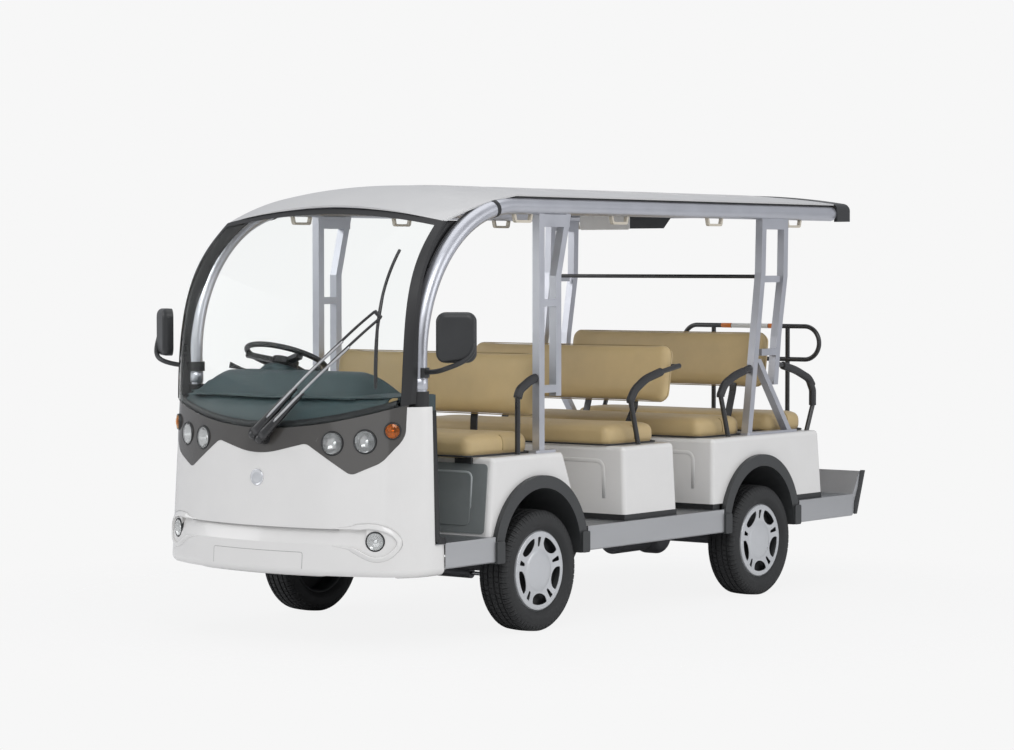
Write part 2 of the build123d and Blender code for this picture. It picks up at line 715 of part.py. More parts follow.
# Lamp mask: the dark panel between the nose and the glass, with a well for each lamp
MASK_T = 8
LAMPS = {
    "inner_head": (382, 902, 54),
    "outer_head": (526, 912, 54),
    "turn": (634, 960, 38),
}
LAMP_DEEP = 60

mask_outer = nose_block(NOSE_LOW, NOSE_TOP + 60, -1)
mask_inner = nose_block(NOSE_LOW - 10, NOSE_TOP + 70, MASK_T - 1)

with BuildPart() as lamp_mask:
    add(mask_outer)
    add(mask_inner, mode=Mode.SUBTRACT)
    with BuildSketch(front_plane(DOOR_Y - 60)):
        with BuildLine():
            mask_points = [(x * (1 - SEAT_GAP / MASK_HALF), z + SEAT_GAP) for x, z, r in MASK_LINE]
            mask_edge = FilletPolyline(*mask_points, radius=[r for x, z, r in MASK_LINE[1:-1]])
            Line(mask_edge @ 1, mask_edge @ 0)
        make_face()
        with BuildLine():
            side_x = MASK_HALF + 10
            side_z = glass_low_z(side_x) - SEAT_GAP
            glass_edge = ThreePointArc((-side_x, side_z), (0, GLASS_LOW_CENTRE_Z - SEAT_GAP), (side_x, side_z))
            Polyline(glass_edge @ 1, (side_x, NOSE_TOP + 400), (-side_x, NOSE_TOP + 400), glass_edge @ 0)
        make_face(mode=Mode.SUBTRACT)
    extrude(amount=800, mode=Mode.INTERSECT)
    for x, z, r in LAMPS.values():
        for side in (1, -1):
            with BuildSketch(lamp_plane(side * x, z)):
                Circle(r + SEAT_GAP)
            extrude(amount=LAMP_DEEP, both=True, mode=Mode.SUBTRACT)
write(lamp_mask, "lamp_mask")


def lamp_body(x, z, r, proud, deep):
    """One round lamp: a can behind the skin and a domed lens in front, as a solid."""
    with BuildPart() as lamp:
        with BuildSketch(lamp_plane(x, z).offset(-deep)):
            Circle(r)
        extrude(amount=deep + proud / 3)
        with BuildSketch(lamp_plane(x, z).offset(proud / 3)):
            Circle(r)
        with BuildSketch(lamp_plane(x, z).offset(proud)):
            Circle(r * 0.72)
        loft()
    return lamp.part


headlamps_made = [
    lamp_body(side * LAMPS[name][0], LAMPS[name][1], LAMPS[name][2], 9, 40)
    for name in ("inner_head", "outer_head")
    for side in (1, -1)
]
turn_x, turn_z, turn_r = LAMPS["turn"]
turn_lamps_made = [lamp_body(side * turn_x, turn_z, turn_r, 16, 30) for side in (1, -1)]

fog_lamps_made = [lamp_body(side * FOG_X, FOG_Z, FOG_R, 6, 16) for side in (1, -1)]

with BuildPart() as headlamps:
    add(headlamps_made)
    add(fog_lamps_made)
write(headlamps, "headlamps")

with BuildPart() as turn_lamps:
    add(turn_lamps_made)
write(turn_lamps, "turn_lamps")

# Windshield: one bowed pane, lofted through four plan sections that lean back more and more
GLASS_T = 5
SEAL_T = 14
SEAL_W = 30
GLASS_SECTIONS = (
    (940, nose_front(940), NOSE_ARC_R),
    (1200, NOSE_Y + 70, 1600),
    (1400, NOSE_Y + 118, 1900),
    (1600, NOSE_Y + 209, 2400),
    (RAIL_Z - 148, NOSE_Y + 376, 2800),
    (RAIL_Z + 2, NOSE_Y + 552, 3000),
)
GLASS_TOP_CENTRE_Z = RAIL_Z - 39
GLASS_TOP_SIDE = (BODY_HALF - 100, RAIL_Z - 93)
GLASS_SIDE_MID = (BODY_HALF - 62, 1470)


def bowed_strip(inset_out, inset_in):
    """A bowed shell between two insets of the glass's form, wider and taller than the glass."""
    with BuildPart() as strip:
        for z, front_y, arc_r in GLASS_SECTIONS:
            with BuildSketch(Plane.XY.offset(z)):
                with BuildLine():
                    out_front, out_corner = bow_half(front_y, arc_r, BODY_HALF, inset_out)
                    in_front, in_corner = bow_half(front_y, arc_r, BODY_HALF, inset_in)
                    Line(out_corner @ 1, in_corner @ 1)
                    mirror(about=Plane.YZ)
                make_face()
        loft()
    return strip.part


def glass_outline(grow):
    """The glass's outline seen from the front, grown at its sides and top."""
    side_x, side_z = GLASS_TOP_SIDE
    mid_x, mid_z = GLASS_SIDE_MID
    low_x = GLASS_LOW_X + grow
    low_z = glass_low_z(low_x)
    low = ThreePointArc((-low_x, low_z), (0, GLASS_LOW_CENTRE_Z), (low_x, low_z))
    left = ThreePointArc(low @ 1, (mid_x + grow, mid_z), (side_x + grow, side_z + grow * 0.6))
    right = ThreePointArc(low @ 0, (-mid_x - grow, mid_z), (-side_x - grow, side_z + grow * 0.6))
    ThreePointArc(left @ 1, (0, GLASS_TOP_CENTRE_Z + grow), right @ 1)


glass_strip = bowed_strip(3, 3 + GLASS_T)
seal_strip = bowed_strip(0, SEAL_T)

with BuildPart() as windshield:
    add(glass_strip)
    with BuildSketch(front_plane(DOOR_Y + 300)):
        with BuildLine():
            glass_outline(0)
        make_face()
    extrude(amount=1000, mode=Mode.INTERSECT)
write(windshield, "windshield")

# Roof side tubes: the A pillars stand on the deck inside the nose and bend back into the side rails
PILLAR_STRAIGHT_Z = RAIL_Z - PILLAR_BEND_R
TUBE_WALL = 4

with BuildPart() as a_pillars:
    with BuildLine():
        upright = Line((RAIL_X, PILLAR_Y, DECK_TOP), (RAIL_X, PILLAR_Y, PILLAR_STRAIGHT_Z))
        with BuildLine(side_plane(RAIL_X)):
            CenterArc((RAIL_FRONT_Y, PILLAR_STRAIGHT_Z), PILLAR_BEND_R, 90, 90)
    with BuildSketch(Plane(origin=upright @ 0, z_dir=(0, 0, 1))):
        Circle(TUBE_R)
        Circle(TUBE_R - TUBE_WALL, mode=Mode.SUBTRACT)
    sweep()
    mirror(about=Plane.YZ)
write(a_pillars, "a_pillars")

# Roof frame: the side rails and the square bows between them
BOW_Y = (-740, 180, 1205, 1700)
BOW_W = 40
BOW_H = 30

with BuildPart() as roof_frame:
    for y in BOW_Y:
        with BuildSketch(side_plane(0)):
            with Locations((y, RAIL_Z)):
                Rectangle(BOW_W, BOW_H)
        extrude(amount=RAIL_X, both=True)
    with BuildSketch(front_plane(RAIL_FRONT_Y)):
        with Locations((RAIL_X, RAIL_Z), (-RAIL_X, RAIL_Z)):
            Circle(TUBE_R)
    extrude(amount=RAIL_FRONT_Y - ROOF_REAR_Y)
    with BuildSketch(front_plane(RAIL_FRONT_Y)):
        with Locations((RAIL_X, RAIL_Z), (-RAIL_X, RAIL_Z)):
            Circle(TUBE_R - TUBE_WALL)
    extrude(amount=RAIL_FRONT_Y - ROOF_REAR_Y, mode=Mode.SUBTRACT)
write(roof_frame, "roof_frame")

# Roof: an arched panel on rubber strips along the side rails
GASKET_HALF = 12


def arch_line(half, edge_z, crown_z, thick):
    """The outline of an arched strip: outer arc, inner arc and the two ends."""
    outer = ThreePointArc((-half, edge_z), (0, crown_z), (half, edge_z))
    inner = ThreePointArc((-half, edge_z - thick), (0, crown_z - thick), (half, edge_z - thick))
    Line(outer @ 0, inner @ 0)
    Line(outer @ 1, inner @ 1)


with BuildPart() as roof_panel:
    with BuildSketch(front_plane(RAIL_FRONT_Y)):
        with BuildLine():
            arch_line(ROOF_HALF, ROOF_EDGE_Z + ROOF_T, ROOF_CROWN_Z, ROOF_T)
        make_face()
    extrude(amount=RAIL_FRONT_Y - ROOF_REAR_Y)
write(roof_panel, "roof_panel")

# Rubber trim: the windshield's seal, a collar round each A pillar and the strips under the roof
COLLAR_R = TUBE_R + 8
COLLAR_H = 66

# Clamp of each mirror round its A pillar
CLAMP_Z = 1188
CLAMP_H = 44
CLAMP_R = TUBE_R + 10
CLAMP_OPEN = 14

with BuildPart() as pillar_room:
    with BuildLine():
        upright = Line((RAIL_X, PILLAR_Y, DECK_TOP), (RAIL_X, PILLAR_Y, PILLAR_STRAIGHT_Z))
        with BuildLine(side_plane(RAIL_X)):
            CenterArc((RAIL_FRONT_Y, PILLAR_STRAIGHT_Z), PILLAR_BEND_R, 90, 90)
    with BuildSketch(Plane(origin=upright @ 0, z_dir=(0, 0, 1))):
        Circle(TUBE_R + SEAT_GAP)
    sweep()
    with BuildSketch(Plane.XY.offset(CLAMP_Z - SEAT_GAP)):
        with Locations((RAIL_X, PILLAR_Y)):
            Circle(CLAMP_R + SEAT_GAP)
    extrude(amount=CLAMP_H + 2 * SEAT_GAP)
    mirror(about=Plane.YZ)

with BuildPart() as rubber_trim:
    add(seal_strip)
    with BuildSketch(front_plane(DOOR_Y + 300)):
        with BuildLine():
            glass_outline(SEAL_W)
        make_face()
        with BuildLine():
            glass_outline(SEAT_GAP)
        make_face(mode=Mode.SUBTRACT)
    extrude(amount=1000, mode=Mode.INTERSECT)
    add(pillar_room.part, mode=Mode.SUBTRACT)
    with BuildSketch(Plane.XY.offset(NOSE_TOP + SEAT_GAP)):
        with Locations((RAIL_X, PILLAR_Y), (-RAIL_X, PILLAR_Y)):
            Circle(COLLAR_R)
            Circle(TUBE_R + SEAT_GAP, mode=Mode.SUBTRACT)
    extrude(amount=COLLAR_H)
    with BuildSketch(front_plane(RAIL_FRONT_Y)):
        with Locations((RAIL_X, RAIL_Z + TUBE_R), (-RAIL_X, RAIL_Z + TUBE_R)):
            Rectangle(2 * GASKET_HALF, 30)
        with Locations((RAIL_X, RAIL_Z), (-RAIL_X, RAIL_Z)):
            Circle(TUBE_R + SEAT_GAP, mode=Mode.SUBTRACT)
        with BuildLine():
            under = ThreePointArc((-ROOF_HALF, ROOF_EDGE_Z), (0, ROOF_CROWN_Z - ROOF_T), (ROOF_HALF, ROOF_EDGE_Z))
            Polyline(under @ 1, (ROOF_HALF, ROOF_CROWN_Z + 40), (-ROOF_HALF, ROOF_CROWN_Z + 40), under @ 0)
        make_face(mode=Mode.SUBTRACT)
        with Locations((0, RAIL_Z - 40)):
            Rectangle(2 * ROOF_HALF, 100, mode=Mode.SUBTRACT)
    extrude(amount=RAIL_FRONT_Y - ROOF_REAR_Y)
write(rubber_trim, "rubber_trim")

# Front roof cap: lofted from the roof's arch down to the top of the glass
CAP_SECTIONS = (
    (RAIL_FRONT_Y - SEAT_GAP, ROOF_HALF, ROOF_EDGE_Z + ROOF_T, ROOF_CROWN_Z),
    (-1250, RAIL_X, RAIL_Z + 4, RAIL_Z + 82),
    (-1505, BODY_HALF - 76, RAIL_Z - 80, RAIL_Z + 2),
)
CAP_CUT_Y = -1400

with BuildPart() as front_roof_cap:
    for y, half, edge_z, crown_z in CAP_SECTIONS:
        with BuildSketch(front_plane(y)):
            with BuildLine():
                arch_line(half, edge_z, crown_z, ROOF_T)
            make_face()
    loft()
    with BuildSketch(front_plane(CAP_CUT_Y)):
        with BuildLine():
            glass_outline(SEAL_W + SEAT_GAP)
        make_face()
    extrude(amount=400, mode=Mode.SUBTRACT)
    add(pillar_room.part, mode=Mode.SUBTRACT)
write(front_roof_cap, "front_roof_cap")

# Rear roof cap: a dark moulding that closes the roof and the ends of its rails
REAR_CAP_END_Y = 1915
REAR_CAP_HALF = RAIL_X + TUBE_R + 6
REAR_CAP_LOW_Z = RAIL_Z - TUBE_R - 2
REAR_CAP_ROUND = 40
REAR_CAP_ARM = 110

with BuildPart() as rear_roof_cap:
    with BuildSketch(front_plane(ROOF_REAR_Y + SEAT_GAP)):
        with BuildLine():
            Polyline(
                (-REAR_CAP_HALF, ROOF_EDGE_Z + 6),
                (-REAR_CAP_HALF, REAR_CAP_LOW_Z),
                (REAR_CAP_HALF, REAR_CAP_LOW_Z),
                (REAR_CAP_HALF, ROOF_EDGE_Z + 6),
            )
            ThreePointArc((-REAR_CAP_HALF, ROOF_EDGE_Z + 6), (0, ROOF_CROWN_Z + 4), (REAR_CAP_HALF, ROOF_EDGE_Z + 6))
        make_face()
    extrude(amount=ROOF_REAR_Y - REAR_CAP_END_Y)
    fillet(rear_roof_cap.edges().filter_by(Axis.Y).group_by(Axis.Z)[-1], REAR_CAP_ROUND)
    fillet(rear_roof_cap.faces().sort_by(Axis.Y)[-1].edges().sort_by(Axis.Z)[1:], REAR_CAP_ROUND - 4)
    front_face = rear_roof_cap.faces().sort_by(Axis.Y)[0]
    low_face = rear_roof_cap.faces().sort_by(Axis.Z)[0]
    offset(amount=-SKIN, openings=[front_face, low_face])
    with BuildSketch(front_plane(ROOF_REAR_Y)):
        with Locations((0, REAR_CAP_LOW_Z)):
            Rectangle(2 * (REAR_CAP_HALF - REAR_CAP_ARM), 2 * (ROOF_EDGE_Z - 20 - REAR_CAP_LOW_Z))
    extrude(amount=ROOF_REAR_Y - REAR_CAP_END_Y - SKIN, mode=Mode.SUBTRACT)
write(rear_roof_cap, "rear_roof_cap")

# Ceiling console under the roof panel, with a sloped rear end
CONSOLE_HALF = 150
CONSOLE_LOW = RAIL_Z - 84
CONSOLE_FRONT_Y = 650
CONSOLE_REAR_Y = 1070
CONSOLE_SLOPE = 110
CONSOLE_TOP = ROOF_CROWN_Z

with BuildPart() as ceiling_console:
    with BuildSketch(side_plane(0)):
        with BuildLine():
            Polyline(
                (CONSOLE_FRONT_Y, CONSOLE_TOP),
                (CONSOLE_FRONT_Y, CONSOLE_LOW),
                (CONSOLE_REAR_Y - CONSOLE_SLOPE, CONSOLE_LOW + 4),
                (CONSOLE_REAR_Y, CONSOLE_TOP - 90),
                (CONSOLE_REAR_Y, CONSOLE_TOP),
                close=True,
            )
        make_face()
    extrude(amount=CONSOLE_HALF, both=True)
    with BuildSketch(front_plane(RAIL_FRONT_Y)):
        with BuildLine():
            under_edge = ROOF_EDGE_Z - SEAT_GAP
            under_crown = ROOF_CROWN_Z - ROOF_T - SEAT_GAP
            under = ThreePointArc((-ROOF_HALF, under_edge), (0, under_crown), (ROOF_HALF, under_edge))
            Polyline(under @ 1, (ROOF_HALF, ROOF_CROWN_Z + 40), (-ROOF_HALF, ROOF_CROWN_Z + 40), under @ 0)
        make_face()
    extrude(amount=RAIL_FRONT_Y - ROOF_REAR_Y, mode=Mode.SUBTRACT)
write(ceiling_console, "ceiling_console")

# Grab handles hung under the side rails
HANDLES_Y = (-945, -180, 645, 1390)
HANDLE_HALF = 74
HANDLE_DROP = 38
HANDLE_T = 12

with BuildPart() as grab_handles:
    for y in HANDLES_Y:
        with BuildSketch(side_plane(RAIL_X)):
            with BuildLine():
                FilletPolyline(
                    (y - HANDLE_HALF, RAIL_Z - TUBE_R + 16),
                    (y - HANDLE_HALF + 14, RAIL_Z - TUBE_R - HANDLE_DROP),
                    (y + HANDLE_HALF - 14, RAIL_Z - TUBE_R - HANDLE_DROP),
                    (y + HANDLE_HALF, RAIL_Z - TUBE_R + 16),
                    radius=16,
                    close=True,
                )
            make_face()
            offset(amount=-HANDLE_T, mode=Mode.SUBTRACT)
        extrude(amount=9, both=True)
    mirror(about=Plane.YZ)
    with BuildSketch(front_plane(RAIL_FRONT_Y)):
        with Locations((RAIL_X, RAIL_Z), (-RAIL_X, RAIL_Z)):
            Circle(TUBE_R + SEAT_GAP)
    extrude(amount=RAIL_FRONT_Y - ROOF_REAR_Y, mode=Mode.SUBTRACT)
write(grab_handles, "grab_handles")

# Seat boxes: moulded shells, open below, each with its side outline and rounded corners
BOX_CORNER = 22
SKIRT_TOP = 489
FRONT_BOX = ((-1266, DECK_TOP), (-1232, BOX_TOP), (-695, BOX_TOP), (-545, DECK_TOP))
MID_BOX = ((-202, SKIRT_TOP), (-215, BOX_TOP), (215, BOX_TOP), (245, SKIRT_TOP))
REAR_BOX = ((562, SKIRT_TOP), (562, BOX_TOP), (1564, BOX_TOP), (1605, SKIRT_TOP))


def box_shell(outline):
    """A hollow seat box, full width, from its outline in side view."""
    with BuildPart() as shell:
        with BuildSketch(side_plane(0)):
            with BuildLine():
                Polyline(*outline, close=True)
            make_face()
        extrude(amount=BODY_HALF, both=True)
        fillet(shell.edges().filter_by(lambda e: e.center().Z > outline[0][1] + 5), BOX_CORNER)
        offset(amount=-SKIN, openings=shell.faces().sort_by(Axis.Z)[0])
    return shell.part


box_shells = [box_shell(FRONT_BOX), box_shell(MID_BOX), box_shell(REAR_BOX)]

with BuildPart() as seat_boxes:
    add(box_shells)
    for arch_y in ARCHES.values():
        with BuildSketch(side_plane(0)):
            with Locations((arch_y, ARCH_Z)):
                Circle(ARCH_IN_R + LINER_T + SEAT_GAP)
            with Locations((arch_y, ARCH_Z - 200)):
                Rectangle(2 * (ARCH_IN_R + LINER_T + SEAT_GAP), 400)
        extrude(amount=SILL_HALF, both=True, mode=Mode.SUBTRACT)
write(seat_boxes, "seat_boxes")

# Grey moulded panel on the front of the front box, with a raised round-cornered field
PANEL_T = 4
FIELD_T = 3

front_low = FRONT_BOX[0]
front_high = FRONT_BOX[1]
panel_rise = front_high[1] - front_low[1]
panel_dir = (front_high[0] - front_low[0], panel_rise)
panel_plane = Plane(
    origin=(0, front_low[0] - SEAT_GAP, front_low[1]),
    x_dir=(1, 0, 0),
    z_dir=(0, -panel_dir[1], panel_dir[0]),
)

with BuildPart() as front_box_panel:
    with BuildSketch(panel_plane):
        with Locations((0, panel_rise / 2 - 8)):
            RectangleRounded(2 * BODY_HALF - 50, panel_rise - 40, 20)
    extrude(amount=PANEL_T)
    with BuildSketch(panel_plane.offset(PANEL_T)):
        for side in (1, -1):
            with Locations((side * 330, panel_rise / 2 - 10)):
                RectangleRounded(560, panel_rise - 110, 30)
    extrude(amount=FIELD_T, taper=20)
write(front_box_panel, "front_box_panel")

# Black skirts under the middle and rear boxes
SKIRT_IN = 3

with BuildPart() as box_skirts:
    for outline in (MID_BOX, REAR_BOX):
        low_front = outline[0]
        low_rear = outline[3]
        height = low_front[1] - DECK_TOP
        mid_y = (low_front[0] + low_rear[0]) / 2
        length = low_rear[0] - low_front[0] - 2 * SKIRT_IN
        with BuildSketch(Plane.XY.offset(DECK_TOP)):
            with Locations((0, mid_y)):
                Rectangle(2 * (BODY_HALF - SKIRT_IN), length)
                Rectangle(2 * (BODY_HALF - SKIRT_IN - 12), length - 24, mode=Mode.SUBTRACT)
        extrude(amount=height)
    with BuildSketch(side_plane(0)):
        with Locations((REAR_ARCH_Y, ARCH_Z)):
            Rectangle(2 * ARCH_OUT_R, 400)
    extrude(amount=BODY_HALF, both=True, mode=Mode.SUBTRACT)
write(box_skirts, "box_skirts")

# Benches: plain closed cushions and backs, the stitched look is added later
CUSHIONS = ((-1297, -815), (-220, 212), (565, 985), (1228, 1572))
CUSHION_LOW = BOX_TOP + SEAT_GAP
CUSHION_ROUND = 30

with BuildPart() as cushions:
    for front_y, rear_y in CUSHIONS:
        with BuildSketch(Plane.XY.offset(CUSHION_LOW)):
            with Locations((0, (front_y + rear_y) / 2)):
                RectangleRounded(2 * BENCH_HALF, rear_y - front_y, 45)
        extrude(amount=CUSHION_T)
    fillet(cushions.faces().group_by(Axis.Z)[-1].edges(), CUSHION_ROUND)
write(cushions, "cushions")

# Backs: middle y and height of each, and its height
BACKS = ((-738, 1125, 310), (340, 1143, 296), (1222, 1189, 298))
BACK_CORNER = 52
BACK_LEAN = 9
BACK_ROUND = 24

LEAN_IN = sin(radians(BACK_LEAN))
LEAN_UP = cos(radians(BACK_LEAN))


def back_pad(y, z, tall):
    """One leaning seat back with rounded corners and edges, as a solid."""
    with BuildPart() as pad:
        with BuildSketch(Plane(origin=(0, y, z), x_dir=(1, 0, 0), z_dir=(0, -LEAN_UP, LEAN_IN))):
            RectangleRounded(2 * BACK_HALF, tall, BACK_CORNER)
        extrude(amount=BACK_T / 2, both=True)
        fillet(pad.faces().sort_by(SortBy.AREA)[-2:].edges(), BACK_ROUND)
    return pad.part


back_pads = [back_pad(y, z, tall) for y, z, tall in BACKS]

with BuildPart() as seat_backs:
    add(back_pads)
write(seat_backs, "seat_backs")

# Side posts: the B pillar is a straight post, a post that slants back at the top and blocks between
B_FRONT_Y = -821
B_REAR_Y = -691
B_REAR_TOP_Y = -604
B_BEND_Z = 1630
B_RUNGS = (1108, 1505)
RUNG_H = 34
HEAD_H = 58
POST_TOP_Z = RAIL_Z + 6
PLATE_W = POST + 16
PLATE_T = 12
B_FOOT = (-868, -718)
B_REAR = ((B_REAR_Y, B_RUNGS[0] - RUNG_H), (B_REAR_Y, B_BEND_Z), (B_REAR_TOP_Y, POST_TOP_Z))

# The C pillar leans, with a short rear post, rungs and a diagonal brace on a long foot plate
C_FRONT = ((949, BOX_TOP + 4), (1074, 1638), (1085, POST_TOP_Z))
C_REAR = ((1196, 1065), (1226, 1313), (1286, 1622), (1293, POST_TOP_Z))
C_BRACE = ((1034, 1200), (1334, BOX_TOP + 4))
C_RUNGS = (1233, 1607)
C_FOOT = (925, 1395)


def band_line(points, width):
    """The outline of a band along points in side view, its width measured along Y."""
    front = [(y - width / 2, z) for y, z in points]
    rear = [(y + width / 2, z) for y, z in reversed(points)]
    Polyline(*front, *rear, close=True)


with BuildPart() as side_posts:
    with BuildSketch(side_plane(POST_X)):
        with BuildLine():
            band_line(((B_FRONT_Y, BOX_TOP + 4), (B_FRONT_Y, POST_TOP_Z)), POST)
        make_face()
        with BuildLine():
            band_line(B_REAR, POST)
        make_face()
        for z in B_RUNGS:
            with Locations(((B_FRONT_Y + B_REAR_Y) / 2, z)):
                Rectangle(B_REAR_Y - B_FRONT_Y, RUNG_H)
        with Locations(((B_FRONT_Y + B_REAR_TOP_Y) / 2, POST_TOP_Z - 70)):
            Rectangle(B_REAR_TOP_Y - B_FRONT_Y, HEAD_H)
        for points in (C_FRONT, C_REAR, C_BRACE):
            with BuildLine():
                band_line(points, POST)
            make_face()
        for z in C_RUNGS:
            with Locations((1145, z)):
                Rectangle(170, RUNG_H)
        with Locations(((C_FRONT[-1][0] + C_REAR[-1][0]) / 2, POST_TOP_Z - 64)):
            Rectangle(C_REAR[-1][0] - C_FRONT[-1][0], HEAD_H)
    extrude(amount=POST / 2, both=True)
    with BuildSketch(Plane.XY.offset(BOX_TOP + SEAT_GAP)):
        for start, end in (B_FOOT, C_FOOT):
            with Locations((POST_X, (start + end) / 2)):
                RectangleRounded(PLATE_W, end - start, 10)
    extrude(amount=PLATE_T)
    with BuildSketch(front_plane(RAIL_FRONT_Y)):
        with Locations((RAIL_X, RAIL_Z)):
            Circle(TUBE_R + SEAT_GAP)
    extrude(amount=RAIL_FRONT_Y - ROOF_REAR_Y, mode=Mode.SUBTRACT)
    mirror(about=Plane.YZ)
write(side_posts, "side_posts")

# Back brackets: flat bars from the seat boxes up to the backs: half width apart, then y and z of each bend
BRACKET_W = 38
BRACKET_T = 8
BRACKETS = (
    (217, ((-730, BOX_TOP + SEAT_GAP), (-724.8, 950.8), (-687.2, 1187.8))),
    (387, ((229.9, 700), (222.5, 780), (353.2, 968.8), (390.7, 1205.8))),
    (450, ((1080, BOX_TOP + SEAT_GAP), (1155.6, 1027.4), (1193.2, 1264.4))),
)

with BuildPart() as back_brackets:
    for x, points in BRACKETS:
        with BuildSketch(side_plane(x)):
            with BuildLine():
                band_line(points, BRACKET_T)
            make_face()
        extrude(amount=BRACKET_W / 2, both=True)
    mirror(about=Plane.YZ)
write(back_brackets, "back_brackets")

# Arm rails: bent tubes with a thick padded length, one at the end of each bench
ARM_RAIL_X = 663
ARM_RAIL_R = 12.5
ARM_PAD_R = 19
ARM_BEND = 34
CROSS_BAR = (1074, 1620)
CROSS_BAR_R = 10
ARM_STUB = (343, 1183)
ARM_STUB_R = 10
ARM_RAILS = (
    ((-974, 805), (-974, 1073), (-959, 1109), (-875, 1152), (-815, 1165)),
    ((-4, 800), (-74, 1031), (-40, 1078), (53, 1128), (181, 1158), (345, 1184)),
    ((790, 803), (715, 1027), (751, 1081), (853, 1123), (993, 1155)),
    ((1215, 1178), (1427, 1132), (1556, 1086), (1597, 1022), (1597, 943), (1532, 800)),
)


def bent_tube(plane, points, bend, r):
    """A round bar along a line of points in a plane, with its corners rounded, as a solid."""
    with BuildPart() as tube:
        with BuildLine(plane) as path:
            FilletPolyline(*points, radius=bend)
        with BuildSketch(Plane(origin=path.line @ 0, z_dir=path.line % 0)):
            Circle(r)
        sweep()
    return tube.part


arm_tubes = [bent_tube(side_plane(ARM_RAIL_X), points, ARM_BEND, ARM_RAIL_R) for points in ARM_RAILS]
arm_pads = [
    bent_tube(side_plane(ARM_RAIL_X), points[1:5], ARM_BEND, ARM_PAD_R) for points in (ARM_RAILS[1], ARM_RAILS[2])
]
arm_pads.append(bent_tube(side_plane(ARM_RAIL_X), ARM_RAILS[0][1:], ARM_BEND, ARM_PAD_R))
arm_pads.append(bent_tube(side_plane(ARM_RAIL_X), ARM_RAILS[3][1:5], ARM_BEND, ARM_PAD_R))

with BuildPart() as arm_rails:
    add(arm_tubes)
    add(arm_pads)
    add(side_posts.part, mode=Mode.SUBTRACT)
    with BuildSketch(Plane.XY.offset(BOX_TOP + SEAT_GAP)):
        with Locations((ARM_RAIL_X, 0)):
            Rectangle(100, 2 * TAIL_Y)
    extrude(amount=-60, mode=Mode.SUBTRACT)
    with BuildSketch(side_plane(BACK_HALF + SEAT_GAP)):
        with Locations(ARM_STUB):
            Circle(ARM_STUB_R)
    extrude(amount=ARM_RAIL_X - BACK_HALF - SEAT_GAP)
    mirror(about=Plane.YZ)
    with BuildSketch(side_plane(0)):
        with Locations(CROSS_BAR):
            Circle(CROSS_BAR_R)
    extrude(amount=POST_X - POST / 2 - SEAT_GAP, both=True)
write(arm_rails, "arm_rails")

# Rear rail: a closed tube with round ends on two posts behind the step
HOOP_R = 12.5
HOOP_Y = TAIL_Y - HOOP_R
HOOP_TOP = 1345
HOOP_LOW = 1165
HOOP_END_R = (HOOP_TOP - HOOP_LOW) / 2
HOOP_STRAIGHT = 350
HOOP_POST_X = 240
HOOP_POST_LOW = 480
STEP_BACK_LOW = (1961.3, 500)
STEP_BACK_HIGH = (1985.5, 565)

with BuildPart() as rear_rail:
    with BuildLine(front_plane(HOOP_Y)) as hoop_path:
        Line((0, HOOP_TOP), (HOOP_STRAIGHT, HOOP_TOP))
        CenterArc((HOOP_STRAIGHT, (HOOP_TOP + HOOP_LOW) / 2), HOOP_END_R, 90, -180)
        Line((HOOP_STRAIGHT, HOOP_LOW), (0, HOOP_LOW))
    with BuildSketch(Plane(origin=(0, HOOP_Y, HOOP_TOP), z_dir=(1, 0, 0))):
        Circle(HOOP_R)
    sweep()
    with BuildSketch(Plane.XY.offset(HOOP_POST_LOW)):
        with Locations((HOOP_POST_X, HOOP_Y)):
            Circle(HOOP_R)
    extrude(amount=HOOP_TOP - HOOP_POST_LOW)
    with BuildSketch(side_plane(HOOP_POST_X)):
        with BuildLine():
            Polyline(
                (STEP_BACK_LOW[0] + 0.4, STEP_BACK_LOW[1]),
                (STEP_BACK_HIGH[0] + 0.4, STEP_BACK_HIGH[1]),
                (HOOP_Y, STEP_BACK_HIGH[1]),
                (HOOP_Y, STEP_BACK_LOW[1]),
                close=True,
            )
        make_face()
    extrude(amount=HOOP_R, both=True)
    mirror(about=Plane.YZ)
write(rear_rail, "rear_rail")

# Rear step: a toe board that leans back behind the deck, open below
STEP_LOW = 357
STEP_OUTLINE = ((STEP_REAR_Y, DECK_TOP), (1944, 580), (1990, 577), (1908, STEP_LOW), (STEP_REAR_Y, STEP_LOW))

with BuildPart() as rear_step:
    with BuildSketch(side_plane(0)):
        with BuildLine():
            Polyline(*STEP_OUTLINE, close=True)
        make_face()
    extrude(amount=SILL_HALF, both=True)
    offset(amount=-SKIN, openings=rear_step.faces().sort_by(Axis.Z)[0])
write(rear_step, "rear_step")

# Dashboard: one moulding from the deck up to a flat shelf under the glass, with closed ends
DASH_HALF = BODY_HALF - 102
DASH_T = 5
DASH_INSET = 52
DASH_OUTLINE = (
    (-1960, 1096),
    (-1560, 1116),
    (-1508, 1104),
    (-1486, 1064),
    (-1492, 1000),
    (-1640, 880),
    (-1742, 700),
    (-1770, DECK_TOP + SEAT_GAP),
    (-1775, DECK_TOP + SEAT_GAP),
    (-1747, 702),
    (-1646, 884),
    (-1498, 1004),
    (-1492, 1062),
    (-1512, 1099),
    (-1560, 1111),
    (-1960, 1091),
)
DASH_END_OUTLINE = DASH_OUTLINE[:8] + ((-1820, DECK_TOP + SEAT_GAP), (-1960, 900))
HUMP_OUTLINE = ((-1850, 1099), (-1760, 1150), (-1640, 1180), (-1560, 1186), (-1520, 1168), (-1500, 1104))
HUMP_MID_X = -160
HUMP_HALF = 360

